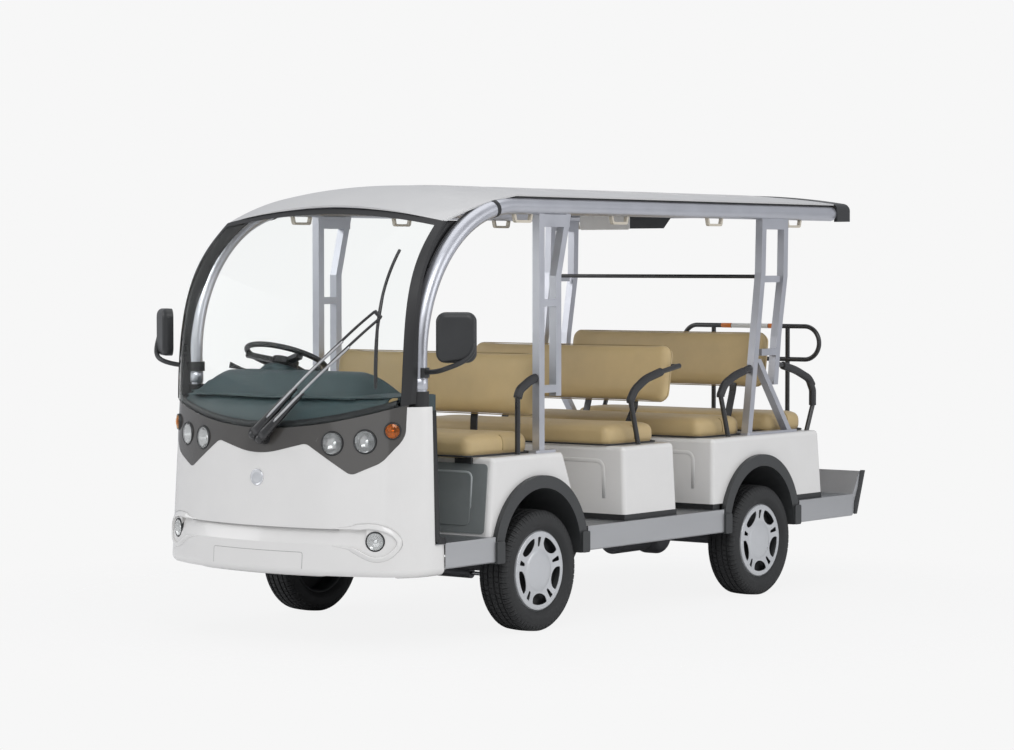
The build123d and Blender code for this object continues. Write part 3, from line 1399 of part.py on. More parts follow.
# Steering column: its line runs from the wheel's middle down and forward to the deck
WHEEL_MID = (-330, -1438, 1246)
COLUMN_LEAN = 22
COLUMN_R = 24
COLUMN_TOP = 70
COLUMN_LEN = 660
SHAFT_R = 11
SHAFT_LEN = 90
column_plane = Plane(
    origin=WHEEL_MID, x_dir=(1, 0, 0), z_dir=(0, sin(radians(COLUMN_LEAN)), cos(radians(COLUMN_LEAN)))
)

dash_block = nose_block(DECK_TOP, 1110, DASH_INSET)

with BuildPart() as dashboard:
    with BuildSketch(side_plane(0)):
        with BuildLine():
            Polyline(*DASH_OUTLINE, close=True)
        make_face()
    extrude(amount=DASH_HALF, both=True)
    for side in (1, -1):
        with BuildSketch(side_plane(side * DASH_HALF)):
            with BuildLine():
                Polyline(*DASH_END_OUTLINE, close=True)
            make_face()
        extrude(amount=-side * DASH_T)
    add(dash_block, mode=Mode.INTERSECT)
    with BuildSketch(side_plane(HUMP_MID_X)):
        with BuildLine():
            Polyline(*HUMP_OUTLINE, close=True)
        make_face()
    extrude(amount=HUMP_HALF, both=True)
    with BuildSketch(column_plane.offset(-COLUMN_LEN)):
        Circle(COLUMN_R + SEAT_GAP)
    extrude(amount=COLUMN_LEN, mode=Mode.SUBTRACT)
write(dashboard, "dashboard")

with BuildPart() as steering_column:
    with BuildSketch(column_plane.offset(-COLUMN_TOP - COLUMN_LEN)):
        Circle(COLUMN_R)
    extrude(amount=COLUMN_LEN)
    with BuildSketch(Plane.XY):
        with Locations((WHEEL_MID[0], WHEEL_MID[1])):
            Rectangle(800, 1600)
    extrude(amount=DECK_TOP + SEAT_GAP, mode=Mode.SUBTRACT)
    with BuildSketch(column_plane.offset(-COLUMN_TOP)):
        Circle(SHAFT_R + PIN_GAP)
    extrude(amount=-SHAFT_LEN, mode=Mode.SUBTRACT)
    with BuildSketch(side_plane(WHEEL_MID[0])):
        with Locations((-1714, DECK_TOP + SEAT_GAP + 5)):
            Rectangle(100, 10)
    extrude(amount=45, both=True)
write(steering_column, "steering_column")

# Steering wheel: a round rim, three spokes, a hub pad and the shaft that turns in the column
RIM_MID_R = 188
RIM_TUBE_R = 13
HUB_PAD_R = 62
SPOKE_W = 34
SPOKE_T = 14

with BuildPart() as steering_wheel:
    rim_plane = Plane(origin=WHEEL_MID, x_dir=(1, 0, 0), z_dir=(0, -column_plane.z_dir.Z, column_plane.z_dir.Y))
    with BuildSketch(rim_plane):
        with Locations((RIM_MID_R, 0)):
            Circle(RIM_TUBE_R)
    revolve(axis=Axis(WHEEL_MID, column_plane.z_dir))
    with BuildSketch(column_plane.offset(-36)):
        Circle(HUB_PAD_R)
    extrude(amount=30)
    with BuildSketch(column_plane.offset(-30)):
        for turn in (90, 210, 330):
            with PolarLocations(0, 1, start_angle=turn):
                with Locations((RIM_MID_R / 2, 0)):
                    Rectangle(RIM_MID_R, SPOKE_W)
    extrude(amount=SPOKE_T + 8)
    with BuildSketch(column_plane.offset(-36)):
        Circle(SHAFT_R)
    extrude(amount=36 - COLUMN_TOP - SHAFT_LEN + 5)
write(steering_wheel, "steering_wheel")

# Pedals: two hanging arms with flat pads, fixed to the dashboard's sloping face
PEDALS = ((-250, 70), (-412, 54))

with BuildPart() as pedals:
    for x, width in PEDALS:
        with BuildSketch(side_plane(x)):
            with BuildLine():
                Polyline(
                    (-1745.4, 715),
                    (-1690, 700),
                    (-1668, 640),
                    (-1640, 560),
                    (-1652, 556),
                    (-1680, 636),
                    (-1698, 690),
                    (-1746.6, 700),
                    close=True,
                )
            make_face()
        extrude(amount=7, both=True)
        with BuildSketch(side_plane(x)):
            with BuildLine():
                Polyline((-1660, 640), (-1625, 545), (-1633, 541), (-1668, 636), close=True)
            make_face()
        extrude(amount=width / 2, both=True)
    add(dashboard.part, mode=Mode.SUBTRACT)
write(pedals, "pedals")

# Wiper: a pivot cover on the mask, two parallel arms, a carrier and one long blade
WIPER_R = 6


def glass_point(x, z, off):
    """A point in front of the glass, off its outer face, at x and z."""
    for (low_z, low_y, low_r), (high_z, high_y, high_r) in zip(GLASS_SECTIONS, GLASS_SECTIONS[1:]):
        if z <= high_z:
            share = (z - low_z) / (high_z - low_z)
            front_y = low_y + share * (high_y - low_y)
            arc_r = low_r + share * (high_r - low_r)
            return (x, front_y + arc_r - (arc_r**2 - x**2) ** 0.5 - off, z)
    return (x, GLASS_SECTIONS[-1][1] - off, z)


def curved_bar(points, r):
    """A round bar along a smooth line through points, as a solid."""
    with BuildPart() as bar:
        with BuildLine() as path:
            Spline(*points)
        with BuildSketch(Plane(origin=path.line @ 0, z_dir=path.line % 0)):
            Circle(r)
        sweep()
    return bar.part


def wiper_line(start, end, off_start, off_end):
    """Seven points above the glass between two points given by x and z."""
    points = []
    for k in range(7):
        share = k / 6
        x = start[0] + share * (end[0] - start[0])
        z = start[1] + share * (end[1] - start[1])
        points.append(glass_point(x, z, off_start + share * (off_end - off_start)))
    return points


wiper_bars = [
    curved_bar(wiper_line((6, 935), (545, 1478), 40, 34), WIPER_R),
    curved_bar(wiper_line((44, 918), (578, 1452), 40, 34), WIPER_R),
    curved_bar(wiper_line((545, 1478), (578, 1452), 34, 34), WIPER_R + 3),
    curved_bar(wiper_line((580, 1143), (545, 1745), 24, 24), WIPER_R + 1),
]

mask_room = nose_block(NOSE_LOW, NOSE_TOP + 60, -1 - SEAT_GAP)

with BuildPart() as wiper:
    add(wiper_bars)
    with BuildSketch(lamp_plane(20, 926).offset(-2)):
        SlotOverall(96, 46, rotation=-28)
    extrude(amount=44)
    add(mask_room, mode=Mode.SUBTRACT)
write(wiper, "wiper")

# Mirrors: a rounded housing outside each A pillar, turned in towards the driver, on an arm from a clamp
MIRROR_X = RAIL_X + 201
MIRROR_Z = 1366
MIRROR_W = 176
MIRROR_H = 220
MIRROR_DEEP = 50
MIRROR_Y = PILLAR_Y + 10
MIRROR_YAW = 35
MIRROR_ARM_R = 11

mirror_plane = Plane(
    origin=(MIRROR_X, MIRROR_Y, MIRROR_Z),
    x_dir=(cos(radians(MIRROR_YAW)), sin(radians(MIRROR_YAW)), 0),
    z_dir=(sin(radians(MIRROR_YAW)), -cos(radians(MIRROR_YAW)), 0),
)

with BuildPart() as mirror_head:
    with BuildSketch(mirror_plane):
        RectangleRounded(MIRROR_W, MIRROR_H, 42)
    extrude(amount=MIRROR_DEEP / 2, both=True)
    fillet(mirror_head.faces().sort_by(SortBy.AREA)[-2:].sort_by(Axis.Y)[0].edges(), 26)

arm_points = (
    (RAIL_X + CLAMP_R - 6, PILLAR_Y - 4, CLAMP_Z + 26),
    (RAIL_X + 110, PILLAR_Y - 12, CLAMP_Z + 30),
    (MIRROR_X - 15, MIRROR_Y - 34, CLAMP_Z + 48),
    tuple(mirror_plane.from_local_coords((58, -82, MIRROR_DEEP / 2 + 2))),
    tuple(mirror_plane.from_local_coords((78, -24, MIRROR_DEEP / 2 - 14))),
)

with BuildPart() as mirrors:
    add(mirror_head.part)
    add(curved_bar(arm_points, MIRROR_ARM_R))
    with BuildSketch(Plane.XY.offset(CLAMP_Z)):
        with Locations((RAIL_X, PILLAR_Y)):
            Circle(CLAMP_R)
            Circle(TUBE_R + SEAT_GAP, mode=Mode.SUBTRACT)
    extrude(amount=CLAMP_H)
    with BuildSketch(Plane.XY.offset(CLAMP_Z)):
        with Locations((RAIL_X + CLAMP_R / 2, PILLAR_Y - TUBE_R)):
            Rectangle(2 * CLAMP_OPEN, 2 * CLAMP_OPEN)
    extrude(amount=CLAMP_H, mode=Mode.SUBTRACT)
    mirror(about=Plane.YZ)
write(mirrors, "mirrors")
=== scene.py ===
import math
import bmesh
import bpy
from mathutils import Matrix, Vector
from mathutils.bvhtree import BVHTree


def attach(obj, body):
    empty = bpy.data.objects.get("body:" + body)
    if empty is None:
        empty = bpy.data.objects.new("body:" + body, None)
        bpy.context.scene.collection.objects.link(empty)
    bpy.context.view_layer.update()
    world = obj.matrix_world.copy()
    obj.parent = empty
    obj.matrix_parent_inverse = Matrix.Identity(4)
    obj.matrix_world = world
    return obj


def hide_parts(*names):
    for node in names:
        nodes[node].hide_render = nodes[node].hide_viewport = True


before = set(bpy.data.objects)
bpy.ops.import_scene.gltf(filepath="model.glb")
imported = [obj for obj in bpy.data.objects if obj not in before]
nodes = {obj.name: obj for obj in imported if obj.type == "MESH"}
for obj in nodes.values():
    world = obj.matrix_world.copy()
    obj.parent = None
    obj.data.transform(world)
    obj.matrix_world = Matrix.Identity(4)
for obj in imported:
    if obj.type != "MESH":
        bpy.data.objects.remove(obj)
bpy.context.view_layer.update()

scene = bpy.context.scene

# Driving sizes, in metres
SIDES = ((1, "left"), (-1, "right"))
TYRE_R = 0.28
TYRE_HALF = 0.0825
RIM_R = 0.182
TRACK_HALF = 0.6575
AXLES = (("front", -0.89), ("rear", 0.99))
WHEELS = {f"{end}_{hand}": (side, y) for end, y in AXLES for side, hand in SIDES}
NOSE_Y = -2.038
NOSE_LOW = 0.318
NOSE_TOP = 1.062
NOSE_ARC_R = 1.38
BODY_HALF = 0.72
NOSE_ARC_X = BODY_HALF - 0.12
NOSE_LEAN = math.tan(math.radians(4.07))
NOSE_FLARE = math.tan(math.radians(1.4))
RAIL_X = BODY_HALF - 0.052
RAIL_Z = 1.948
TUBE_R = 0.038
PILLAR_Y = -1.697
PILLAR_BEND_R = 0.68
DECK_TOP = 0.461


# Materials
DRIFT_RANGE = (0.3, 0.7)
DRIFT_DETAIL = 5.0
COAT_ROUGH = 0.06
GRAIN_DEEP = 0.001
LUG_ROWS = ((0.785, 0.0), (-0.785, 0.5))
LUG_SIZES = (("X", 0.8), ("Y", 0.24))
LUGS_A_METRE = 34
LUG_DEEP = 0.002


def preset(node, values):
    """Sets some of a shader node's inputs."""
    for key, value in values.items():
        node.inputs[key].default_value = value
    return node


def put(tree, kind, values=None):
    """Adds a shader node with some of its inputs set."""
    return preset(tree.new("ShaderNode" + kind), values or {})


def started(name):
    """A new material, its nodes and its links."""
    material = bpy.data.materials.new(name)
    material.use_nodes = True
    return material, material.node_tree.nodes, material.node_tree.links


def lifted(tree, link, height, strength, deep):
    """Gives the material a bump from a height."""
    relief = put(tree, "Bump", {"Strength": strength, "Distance": deep})
    link.new(height, relief.inputs["Height"])
    link.new(relief.outputs["Normal"], tree["Principled BSDF"].inputs["Normal"])


def combined(tree, link, operation, first, second):
    """The result of an operation on two sockets' values."""
    node = put(tree, "Math")
    node.operation = operation
    link.new(first, node.inputs[0])
    link.new(second, node.inputs[1])
    return node.outputs[0]


def surface(
    name, color, rough=0.4, metal=0.0, vary=0.05, scale=6.0, rough_vary=0.06, bump=0.0, bump_scale=300.0,
    bump_kind="noise", coat=0.0, sheen=0.0, stretch=(1, 1, 1),
):
    """A procedural material: colour and roughness drift with position, and a fine bump gives the grain."""
    material, tree, link = started(name)
    shader = tree["Principled BSDF"]
    preset(shader, {"Metallic": metal, "Sheen Weight": sheen})
    preset(shader, {"Coat Weight": coat, "Coat Roughness": COAT_ROUGH})
    mapping = put(tree, "Mapping", {"Scale": stretch})
    link.new(put(tree, "TexCoord").outputs["Object"], mapping.inputs["Vector"])
    drift = put(tree, "TexNoise", {"Scale": scale, "Detail": DRIFT_DETAIL, "Roughness": 0.6})
    link.new(mapping.outputs["Vector"], drift.inputs["Vector"])
    ramp = put(tree, "ValToRGB")
    for stop, place, factor in zip(ramp.color_ramp.elements, DRIFT_RANGE, (1 - vary, 1 + vary)):
        stop.position = place
        stop.color = (*(min(1.0, c * factor) for c in color), 1)
    link.new(drift.outputs["Fac"], ramp.inputs["Fac"])
    link.new(ramp.outputs["Color"], shader.inputs["Base Color"])
    smoothest, roughest = max(0.02, rough - rough_vary), min(1.0, rough + rough_vary)
    limits = dict(zip(("From Min", "From Max", "To Min", "To Max"), (*DRIFT_RANGE, smoothest, roughest)))
    spread = put(tree, "MapRange", limits)
    link.new(drift.outputs["Fac"], spread.inputs["Value"])
    link.new(spread.outputs["Result"], shader.inputs["Roughness"])
    if bump:
        if bump_kind == "grain":
            grain = put(tree, "TexVoronoi", {"Scale": bump_scale})
            grain.feature = "DISTANCE_TO_EDGE"
            height = grain.outputs["Distance"]
        else:
            grain = put(tree, "TexNoise", {"Scale": bump_scale, "Detail": 3.0})
            height = grain.outputs["Fac"]
        link.new(mapping.outputs["Vector"], grain.inputs["Vector"])
        lifted(tree, link, height, bump, GRAIN_DEEP)
    return material


def clear(name, color, rough=0.0, ior=1.45):
    """A clear material for glass and lenses, a little uneven in its polish."""
    material, tree, link = started(name)
    shader = tree["Principled BSDF"]
    preset(shader, {"Base Color": (*color, 1), "Transmission Weight": 1.0, "IOR": ior})
    drift = put(tree, "TexNoise", {"Scale": 5.0})
    link.new(put(tree, "TexCoord").outputs["Object"], drift.inputs["Vector"])
    spread = put(tree, "MapRange", {"To Min": rough, "To Max": rough + 0.02})
    link.new(drift.outputs["Fac"], spread.inputs["Value"])
    link.new(spread.outputs["Result"], shader.inputs["Roughness"])
    return material


def tread_plate(name, color):
    """Chequered aluminium plate: short raised lugs that turn by a right angle from row to row."""
    material = surface(name, color, rough=0.34, metal=0.85, vary=0.1, scale=3.0, rough_vary=0.1)
    tree, link = material.node_tree.nodes, material.node_tree.links
    coords = put(tree, "TexCoord")
    heights = []
    for turn, shift in LUG_ROWS:
        lay = {"Rotation": (0, 0, turn), "Scale": (LUGS_A_METRE,) * 3, "Location": (shift, shift, 0)}
        mapping = put(tree, "Mapping", lay)
        link.new(coords.outputs["Object"], mapping.inputs["Vector"])
        split = put(tree, "SeparateXYZ")
        link.new(mapping.outputs["Vector"], split.inputs["Vector"])
        parts = []
        for axis, width in LUG_SIZES:
            wrap = put(tree, "Math", {1: 1.0})
            wrap.operation = "PINGPONG"
            link.new(split.outputs[axis], wrap.inputs[0])
            lug = put(tree, "MapRange", {"From Min": width, "From Max": width * 0.5})
            lug.interpolation_type = "SMOOTHSTEP"
            link.new(wrap.outputs[0], lug.inputs["Value"])
            parts.append(lug.outputs["Result"])
        heights.append(combined(tree, link, "MULTIPLY", *parts))
    lifted(tree, link, combined(tree, link, "MAXIMUM", *heights), 0.9, LUG_DEEP)
    return material

M = {
    "white": surface(
        "white_gelcoat", (0.735, 0.724, 0.706), 0.24, vary=0.012, rough_vary=0.03, coat=0.5, bump=0.03,
        bump_scale=25,
    ),
    "roof": surface(
        "roof_gelcoat", (0.52, 0.518, 0.516), 0.36, vary=0.03, rough_vary=0.05, coat=0.15, bump=0.012,
        bump_scale=9,
    ),
    "mask": surface(
        "mask_lacquer", (0.062, 0.058, 0.053), 0.22, vary=0.06, coat=0.6, bump=0.02, bump_scale=30,
    ),
    "trim": surface("black_trim", (0.022, 0.023, 0.024), 0.42, vary=0.12, bump=0.12, bump_scale=900),
    "flare": surface("flare_plastic", (0.035, 0.037, 0.038), 0.45, vary=0.1, bump=0.15, bump_scale=1100),
    "liner": surface("liner_plastic", (0.02, 0.02, 0.021), 0.6, vary=0.15, bump=0.3, bump_scale=500),
    "rubber": surface("black_rubber", (0.014, 0.014, 0.015), 0.55, vary=0.15, bump=0.1, bump_scale=700),
    "tyre": surface(
        "tyre_rubber", (0.017, 0.0175, 0.018), 0.66, vary=0.16, scale=14, bump=0.35, bump_scale=650,
    ),
    "silver": surface(
        "anodised_silver", (0.52, 0.53, 0.57), 0.34, metal=0.8, vary=0.04, bump=0.05, bump_scale=900,
    ),
    "wheel": surface(
        "wheel_paint", (0.56, 0.57, 0.585), 0.32, metal=0.45, vary=0.03, coat=0.3, bump=0.01,
        bump_scale=120,
    ),
    "sill": surface(
        "sill_aluminium", (0.44, 0.445, 0.455), 0.42, metal=0.7, vary=0.05, bump=0.06, bump_scale=500,
        stretch=(1, 0.1, 1),
    ),
    "deck": tread_plate("chequer_plate", (0.3, 0.31, 0.32)),
    "panel": surface(
        "grey_panel", (0.215, 0.232, 0.230), 0.42, vary=0.06, coat=0.15, bump=0.06, bump_scale=500,
    ),
    "dash": surface(
        "dash_moulding", (0.038, 0.064, 0.07), 0.5, vary=0.08, bump=0.35, bump_scale=700, bump_kind="grain",
    ),
    "vinyl": surface(
        "tan_vinyl", (0.52, 0.388, 0.190), 0.46, vary=0.07, scale=5, rough_vary=0.07, bump=0.4, bump_scale=520,
        bump_kind="grain", sheen=0.1,
    ),
    "seam": surface("tan_piping", (0.34, 0.25, 0.115), 0.5, vary=0.08, bump=0.3, bump_scale=900),
    "black_metal": surface(
        "black_enamel", (0.018, 0.018, 0.019), 0.3, vary=0.15, coat=0.25, bump=0.04, bump_scale=500,
    ),
    "sleeve": surface("foam_sleeve", (0.022, 0.022, 0.024), 0.5, vary=0.15, bump=0.4, bump_scale=900),
    "chassis": surface("chassis_paint", (0.028, 0.028, 0.03), 0.5, vary=0.2, bump=0.2, bump_scale=200),
    "cast": surface(
        "cast_housing", (0.16, 0.16, 0.17), 0.6, metal=0.5, vary=0.15, bump=0.5, bump_scale=350,
    ),
    "steel": surface("bare_steel", (0.5, 0.5, 0.51), 0.3, metal=1.0, vary=0.08, bump=0.08, bump_scale=500),
    "chrome": surface("bright_chrome", (0.75, 0.76, 0.77), 0.08, metal=1.0, vary=0.02, rough_vary=0.03),
    "reflector": surface(
        "lamp_reflector", (0.46, 0.465, 0.47), 0.12, metal=1.0, vary=0.03, bump=0.5, bump_scale=90,
        bump_kind="grain",
    ),
    "handle": surface("handle_plastic", (0.56, 0.51, 0.42), 0.42, vary=0.05, bump=0.08, bump_scale=600),
    "glass": clear("windshield_glass", (0.972, 0.99, 0.986), ior=1.09),
    "lens": clear("lamp_lens", (0.97, 0.98, 0.98), rough=0.03),
    "amber": clear("amber_lens", (1.0, 0.44, 0.05), rough=0.1),
    "orange": surface(
        "orange_tape", (0.72, 0.2, 0.03), 0.35, vary=0.06, bump=0.25, bump_scale=300, bump_kind="grain",
    ),
    "white_tape": surface(
        "white_tape", (0.75, 0.75, 0.73), 0.3, vary=0.04, bump=0.25, bump_scale=300, bump_kind="grain",
    ),
    # Dark grey for real joints, such as the plate's outline, and for the painted shadow under the bumper's brow
    "joint": surface("joint_and_shadow_line", (0.30, 0.295, 0.29), 0.5, vary=0.05),
    "frit": surface("glass_border", (0.008, 0.010, 0.012), 0.5, vary=0.1, bump=0.03, bump_scale=200),
    # Light grey of the front panel's pressed beads: painted highlight, much lighter than the grey panel they
    # are pressed in
    "bead": surface("panel_bead_painted_highlight", (0.47, 0.50, 0.50), 0.35, vary=0.04, coat=0.2, bump=0.03, bump_scale=200),
    "badge": surface(
        "badge_disc", (0.66, 0.67, 0.69), 0.22, metal=0.6, vary=0.04, coat=0.4, bump=0.03, bump_scale=200,
    ),
    "battery": surface("battery_case", (0.03, 0.034, 0.04), 0.5, vary=0.1, bump=0.2, bump_scale=300),
}

# Finished looks of the CAD nodes that stay in view
NODE_LOOKS = {
    "white": ("nose_shell", "seat_boxes"),
    "mask": ("lamp_mask",),
    "glass": ("windshield",),
    "rubber": ("rubber_trim",),
    "silver": ("a_pillars", "roof_frame", "side_posts"),
    "roof": ("roof_panel", "front_roof_cap"),
    "trim": ("rear_roof_cap", "ceiling_console", "box_skirts", "steering_column", "steering_wheel", "mirrors"),
    "panel": ("front_box_panel",),
    "sill": ("side_sills", "rear_step"),
    "deck": ("floor_deck",),
    "flare": ("front_wheel_arches", "rear_wheel_arches"),
    "dash": ("dashboard",),
    "black_metal": ("pedals", "back_brackets", "arm_rails", "rear_rail", "wiper"),
    "chassis": (
        "frame_rails", "cross_members", "tow_plate", "leaf_springs", "front_axle", "knuckle_left",
        "knuckle_right",
    ),
    "cast": ("rear_axle", "drive_motor", "rack_housing"),
    "steel": ("steering_rack",),
    "battery": ("battery_block",),
    "handle": ("grab_handles",),
}
for look, dressed in NODE_LOOKS.items():
    for node in dressed:
        data = nodes[node].data
        if not data.materials:
            data.materials.append(M[look])
        for index in range(len(data.materials)):
            data.materials[index] = M[look]


# Pieces and meshes
MERGE = 1e-6


def piece(name, mesh, look, body="chassis", sharp=None, stands_for=()):
    """Puts a mesh in the scene as a piece of the object; edges past the sharp angle stay crisp."""
    obj = bpy.data.objects.new(name, mesh)
    scene.collection.objects.link(obj)
    mesh.materials.append(M[look])
    mesh.shade_smooth()
    if sharp:
        mesh.set_sharp_from_angle(angle=math.radians(sharp))
    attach(obj, body)
    if stands_for:
        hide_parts(*stands_for)
    return obj


def mesh_of(name, points, faces):
    mesh = bpy.data.meshes.new(name)
    mesh.from_pydata([tuple(p) for p in points], [], faces)
    mesh.validate()
    mesh.update()
    return mesh


def applied(obj):
    """Applies an object's modifiers to its mesh."""
    graph = bpy.context.evaluated_depsgraph_get()
    done = bpy.data.meshes.new_from_object(obj.evaluated_get(graph))
    obj.modifiers.clear()
    old = obj.data
    obj.data = done
    if old.users == 0:
        bpy.data.meshes.remove(old)
    return obj


def from_bmesh(name, bm):
    mesh = bpy.data.meshes.new(name)
    bm.to_mesh(mesh)
    bm.free()
    return mesh


def joined(name, meshes):
    """One mesh made of several, which keep their own material slots' order."""
    bm = bmesh.new()
    for mesh in meshes:
        bm.from_mesh(mesh)
    for mesh in meshes:
        bpy.data.meshes.remove(mesh)
    return from_bmesh(name, bm)


def grid_faces(rows, cols, round_rows=False, round_cols=False):
    """Quads of a grid of points that is numbered row by row; it may close on itself either way."""
    faces = []
    for i in range(rows if round_rows else rows - 1):
        for k in range(cols if round_cols else cols - 1):
            j, m = (i + 1) % rows, (k + 1) % cols
            faces.append((i * cols + k, j * cols + k, j * cols + m, i * cols + m))
    return faces


def faces_out(mesh, merge=0.0):
    """Turns a mesh's faces outward, after joining points that lie closer than merge."""
    bm = bmesh.new()
    bm.from_mesh(mesh)
    if merge:
        bmesh.ops.remove_doubles(bm, verts=bm.verts, dist=merge)
    bmesh.ops.recalc_face_normals(bm, faces=bm.faces)
    bm.to_mesh(mesh)
    bm.free()
    return mesh


def skinned(name, rings, closed_path=False):
    """A closed skin through rings of points; its ends are capped unless the path closes on itself."""
    count, n = len(rings), len(rings[0])
    faces = grid_faces(count, n, closed_path, True)
    if not closed_path:
        faces += [tuple(reversed(range(n))), tuple(range((count - 1) * n, count * n))]
    return faces_out(mesh_of(name, [p for ring in rings for p in ring], faces))


def ring_sweep(name, centres, frames, ring, closed_path=False):
    """Sweeps a closed ring of 2-D points along a path with a frame (right, up) at each point."""
    rings = [[c + right * u + up * v for u, v in ring] for c, (right, up) in zip(centres, frames)]
    return skinned(name, rings, closed_path)


def circle_ring(r, n=20):
    return [(r * math.cos(2 * math.pi * k / n), r * math.sin(2 * math.pi * k / n)) for k in range(n)]


def box_ring(width, height, corner, n=3):
    """A rectangle's outline with rounded corners, as a ring of 2-D points."""
    ring = []
    for cx, cy, start in (
        (width / 2 - corner, height / 2 - corner, 0),
        (-width / 2 + corner, height / 2 - corner, 90),
        (-width / 2 + corner, -height / 2 + corner, 180),
        (width / 2 - corner, -height / 2 + corner, 270),
    ):
        for k in range(n + 1):
            a = math.radians(start + 90 * k / n)
            ring.append((cx + corner * math.cos(a), cy + corner * math.sin(a)))
    return ring


def rounded_corner(before, here, after, reach, share, steps):
    """A curve across a corner, from within reach of it and no further than a share of each side."""
    a, b = before - here, after - here
    cut = min(reach, a.length * share, b.length * share)
    start, end = here + a.normalized() * cut, here + b.normalized() * cut
    shares = [k / steps for k in range(steps + 1)]
    return [start * (1 - t) ** 2 + here * 2 * t * (1 - t) + end * t ** 2 for t in shares]


def smooth_path(points, bend, steps=6):
    """A path with each corner turned into an arc-like curve of about the given reach."""
    points = [Vector(p) for p in points]
    path = [points[0]]
    for before, here, after in zip(points, points[1:], points[2:]):
        path += rounded_corner(before, here, after, bend, 0.48, steps)
    return path + [points[-1]]


def path_frames(path, up_hint=(0, 0, 1), closed=False):
    """A right and an up direction at each point of a path, carried along without twist."""
    frames = []
    count = len(path)
    hint = Vector(up_hint)
    for i in range(count):
        if closed:
            way = path[(i + 1) % count] - path[i - 1]
        elif i == 0:
            way = path[1] - path[0]
        elif i == count - 1:
            way = path[-1] - path[-2]
        else:
            way = (path[i + 1] - path[i]).normalized() + (path[i] - path[i - 1]).normalized()
        way.normalize()
        right = way.cross(hint)
        if right.length < 1e-4:
            right = way.cross(Vector((0, 1, 0.01)))
        right.normalize()
        up = right.cross(way).normalized()
        hint = up if not closed else Vector(up_hint)
        frames.append((right, up))
    return frames


def tube(name, points, ring, bend=0.03, up=(0, 0, 1)):
    """A bar of the ring's section along a line of points with rounded corners."""
    path = smooth_path(points, bend)
    return ring_sweep(name, path, path_frames(path, up), ring)


def lathe(name, profile, centre, axis, n=64, start=None):
    """Turns a closed or open profile of (along, radius) about an axis through a centre."""
    axis = Vector(axis).normalized()
    side = Vector(start) if start else axis.orthogonal().normalized()
    other = axis.cross(side)
    points = []
    for k in range(n):
        a = 2 * math.pi * k / n
        spoke = side * math.cos(a) + other * math.sin(a)
        points += [Vector(centre) + axis * along + spoke * r for along, r in profile]
    return faces_out(mesh_of(name, points, grid_faces(n, len(profile), True)), MERGE)


def prism(name, outline, origin, x_dir, y_dir, depth):
    """A flat outline pushed out along its normal, as a closed mesh."""
    x_dir = Vector(x_dir).normalized()
    y_dir = Vector(y_dir).normalized()
    normal = x_dir.cross(y_dir)
    origin = Vector(origin)
    n = len(outline)
    points = [origin + x_dir * u + y_dir * v for u, v in outline]
    points += [p + normal * depth for p in points]
    faces = [tuple(reversed(range(n))), tuple(range(n, 2 * n))]
    faces += [(k, (k + 1) % n, (k + 1) % n + n, k + n) for k in range(n)]
    return mesh_of(name, points, faces)


def softened(mesh, width, segments=2, angle=35):
    """Rounds a mesh's sharp edges."""
    bm = bmesh.new()
    bm.from_mesh(mesh)
    bmesh.ops.remove_doubles(bm, verts=bm.verts, dist=MERGE)
    limit = math.radians(angle)
    edges = [e for e in bm.edges if len(e.link_faces) == 2 and e.calc_face_angle(0) > limit]
    bmesh.ops.bevel(
        bm, geom=edges, offset=width, segments=segments, profile=0.5, affect="EDGES", clamp_overlap=True
    )
    bmesh.ops.recalc_face_normals(bm, faces=bm.faces)
    bm.to_mesh(mesh)
    bm.free()
    return mesh


def moved(mesh, matrix):
    mesh.transform(matrix)
    if matrix.determinant() < 0:
        mesh.flip_normals()
    return mesh

def copy_of(mesh, matrix):
    return moved(mesh.copy(), matrix)


def nose_front(z):
    return NOSE_Y + (z - NOSE_LOW) * NOSE_LEAN


def bow_point(x, z, front, arc_r, half, off=0.0):
    """A point on a bowed plan line, a wide arc with a tighter one at each corner, and its direction outward."""
    turn = math.asin(NOSE_ARC_X / arc_r)
    corner_r = (half - NOSE_ARC_X) / (1 - math.sin(turn))
    if abs(x) <= NOSE_ARC_X:
        angle = math.asin(x / arc_r)
        y = front + arc_r * (1 - math.cos(angle))
    else:
        angle = math.copysign(math.asin(min(1.0, (abs(x) - half + corner_r) / corner_r)), x)
        y = front + arc_r - (arc_r - corner_r) * math.cos(turn) - corner_r * math.cos(angle)
    out = Vector((math.sin(angle), -math.cos(angle), 0))
    return Vector((x, y, z)) + out * off, out


def nose_point(x, z, off=0.0):
    """A point on the nose's outer skin, moved out from it, and the skin's direction there."""
    return bow_point(x, z, nose_front(z), NOSE_ARC_R, BODY_HALF + (NOSE_TOP - z) * NOSE_FLARE, off)


# Tyres
TREAD_PITCHES = 68
TREAD_HALF = 0.062
TREAD_EDGE = 0.0006
TREAD_SKEW = 0.352
SKEW_REACH = 0.06
GROOVES = ((-0.044, 0.0055), (-0.0165, 0.0075), (0.0165, 0.0075), (0.044, 0.0055))
GROOVE_DEEP = 0.0065
SLOT_W = 0.0042
SIPE_W = 0.0018
SHOULDER = ((0.0748, 0.2640), (0.0722, 0.2680), (0.0692, 0.2712), (0.0657, 0.2740))
WALL_FOOT = 0.058
BULGE_R = 0.222
WALL_TOP_R = 0.26
BEAD_R = RIM_R + 0.0003


def tread_samples():
    """Offsets across the tread, with a close pair at each groove wall."""
    wall = 0.0008
    samples = [-TREAD_HALF, -0.0575, -0.053]
    for middle, width in GROOVES:
        a, b = middle - width / 2, middle + width / 2
        samples += [a - wall, a, b, b + wall]
    samples += [-0.037, -0.030, -0.0235, -0.0085, 0.0, 0.0085, 0.0235, 0.030, 0.037]
    samples += [0.053, 0.0575, TREAD_HALF]
    return sorted(samples)

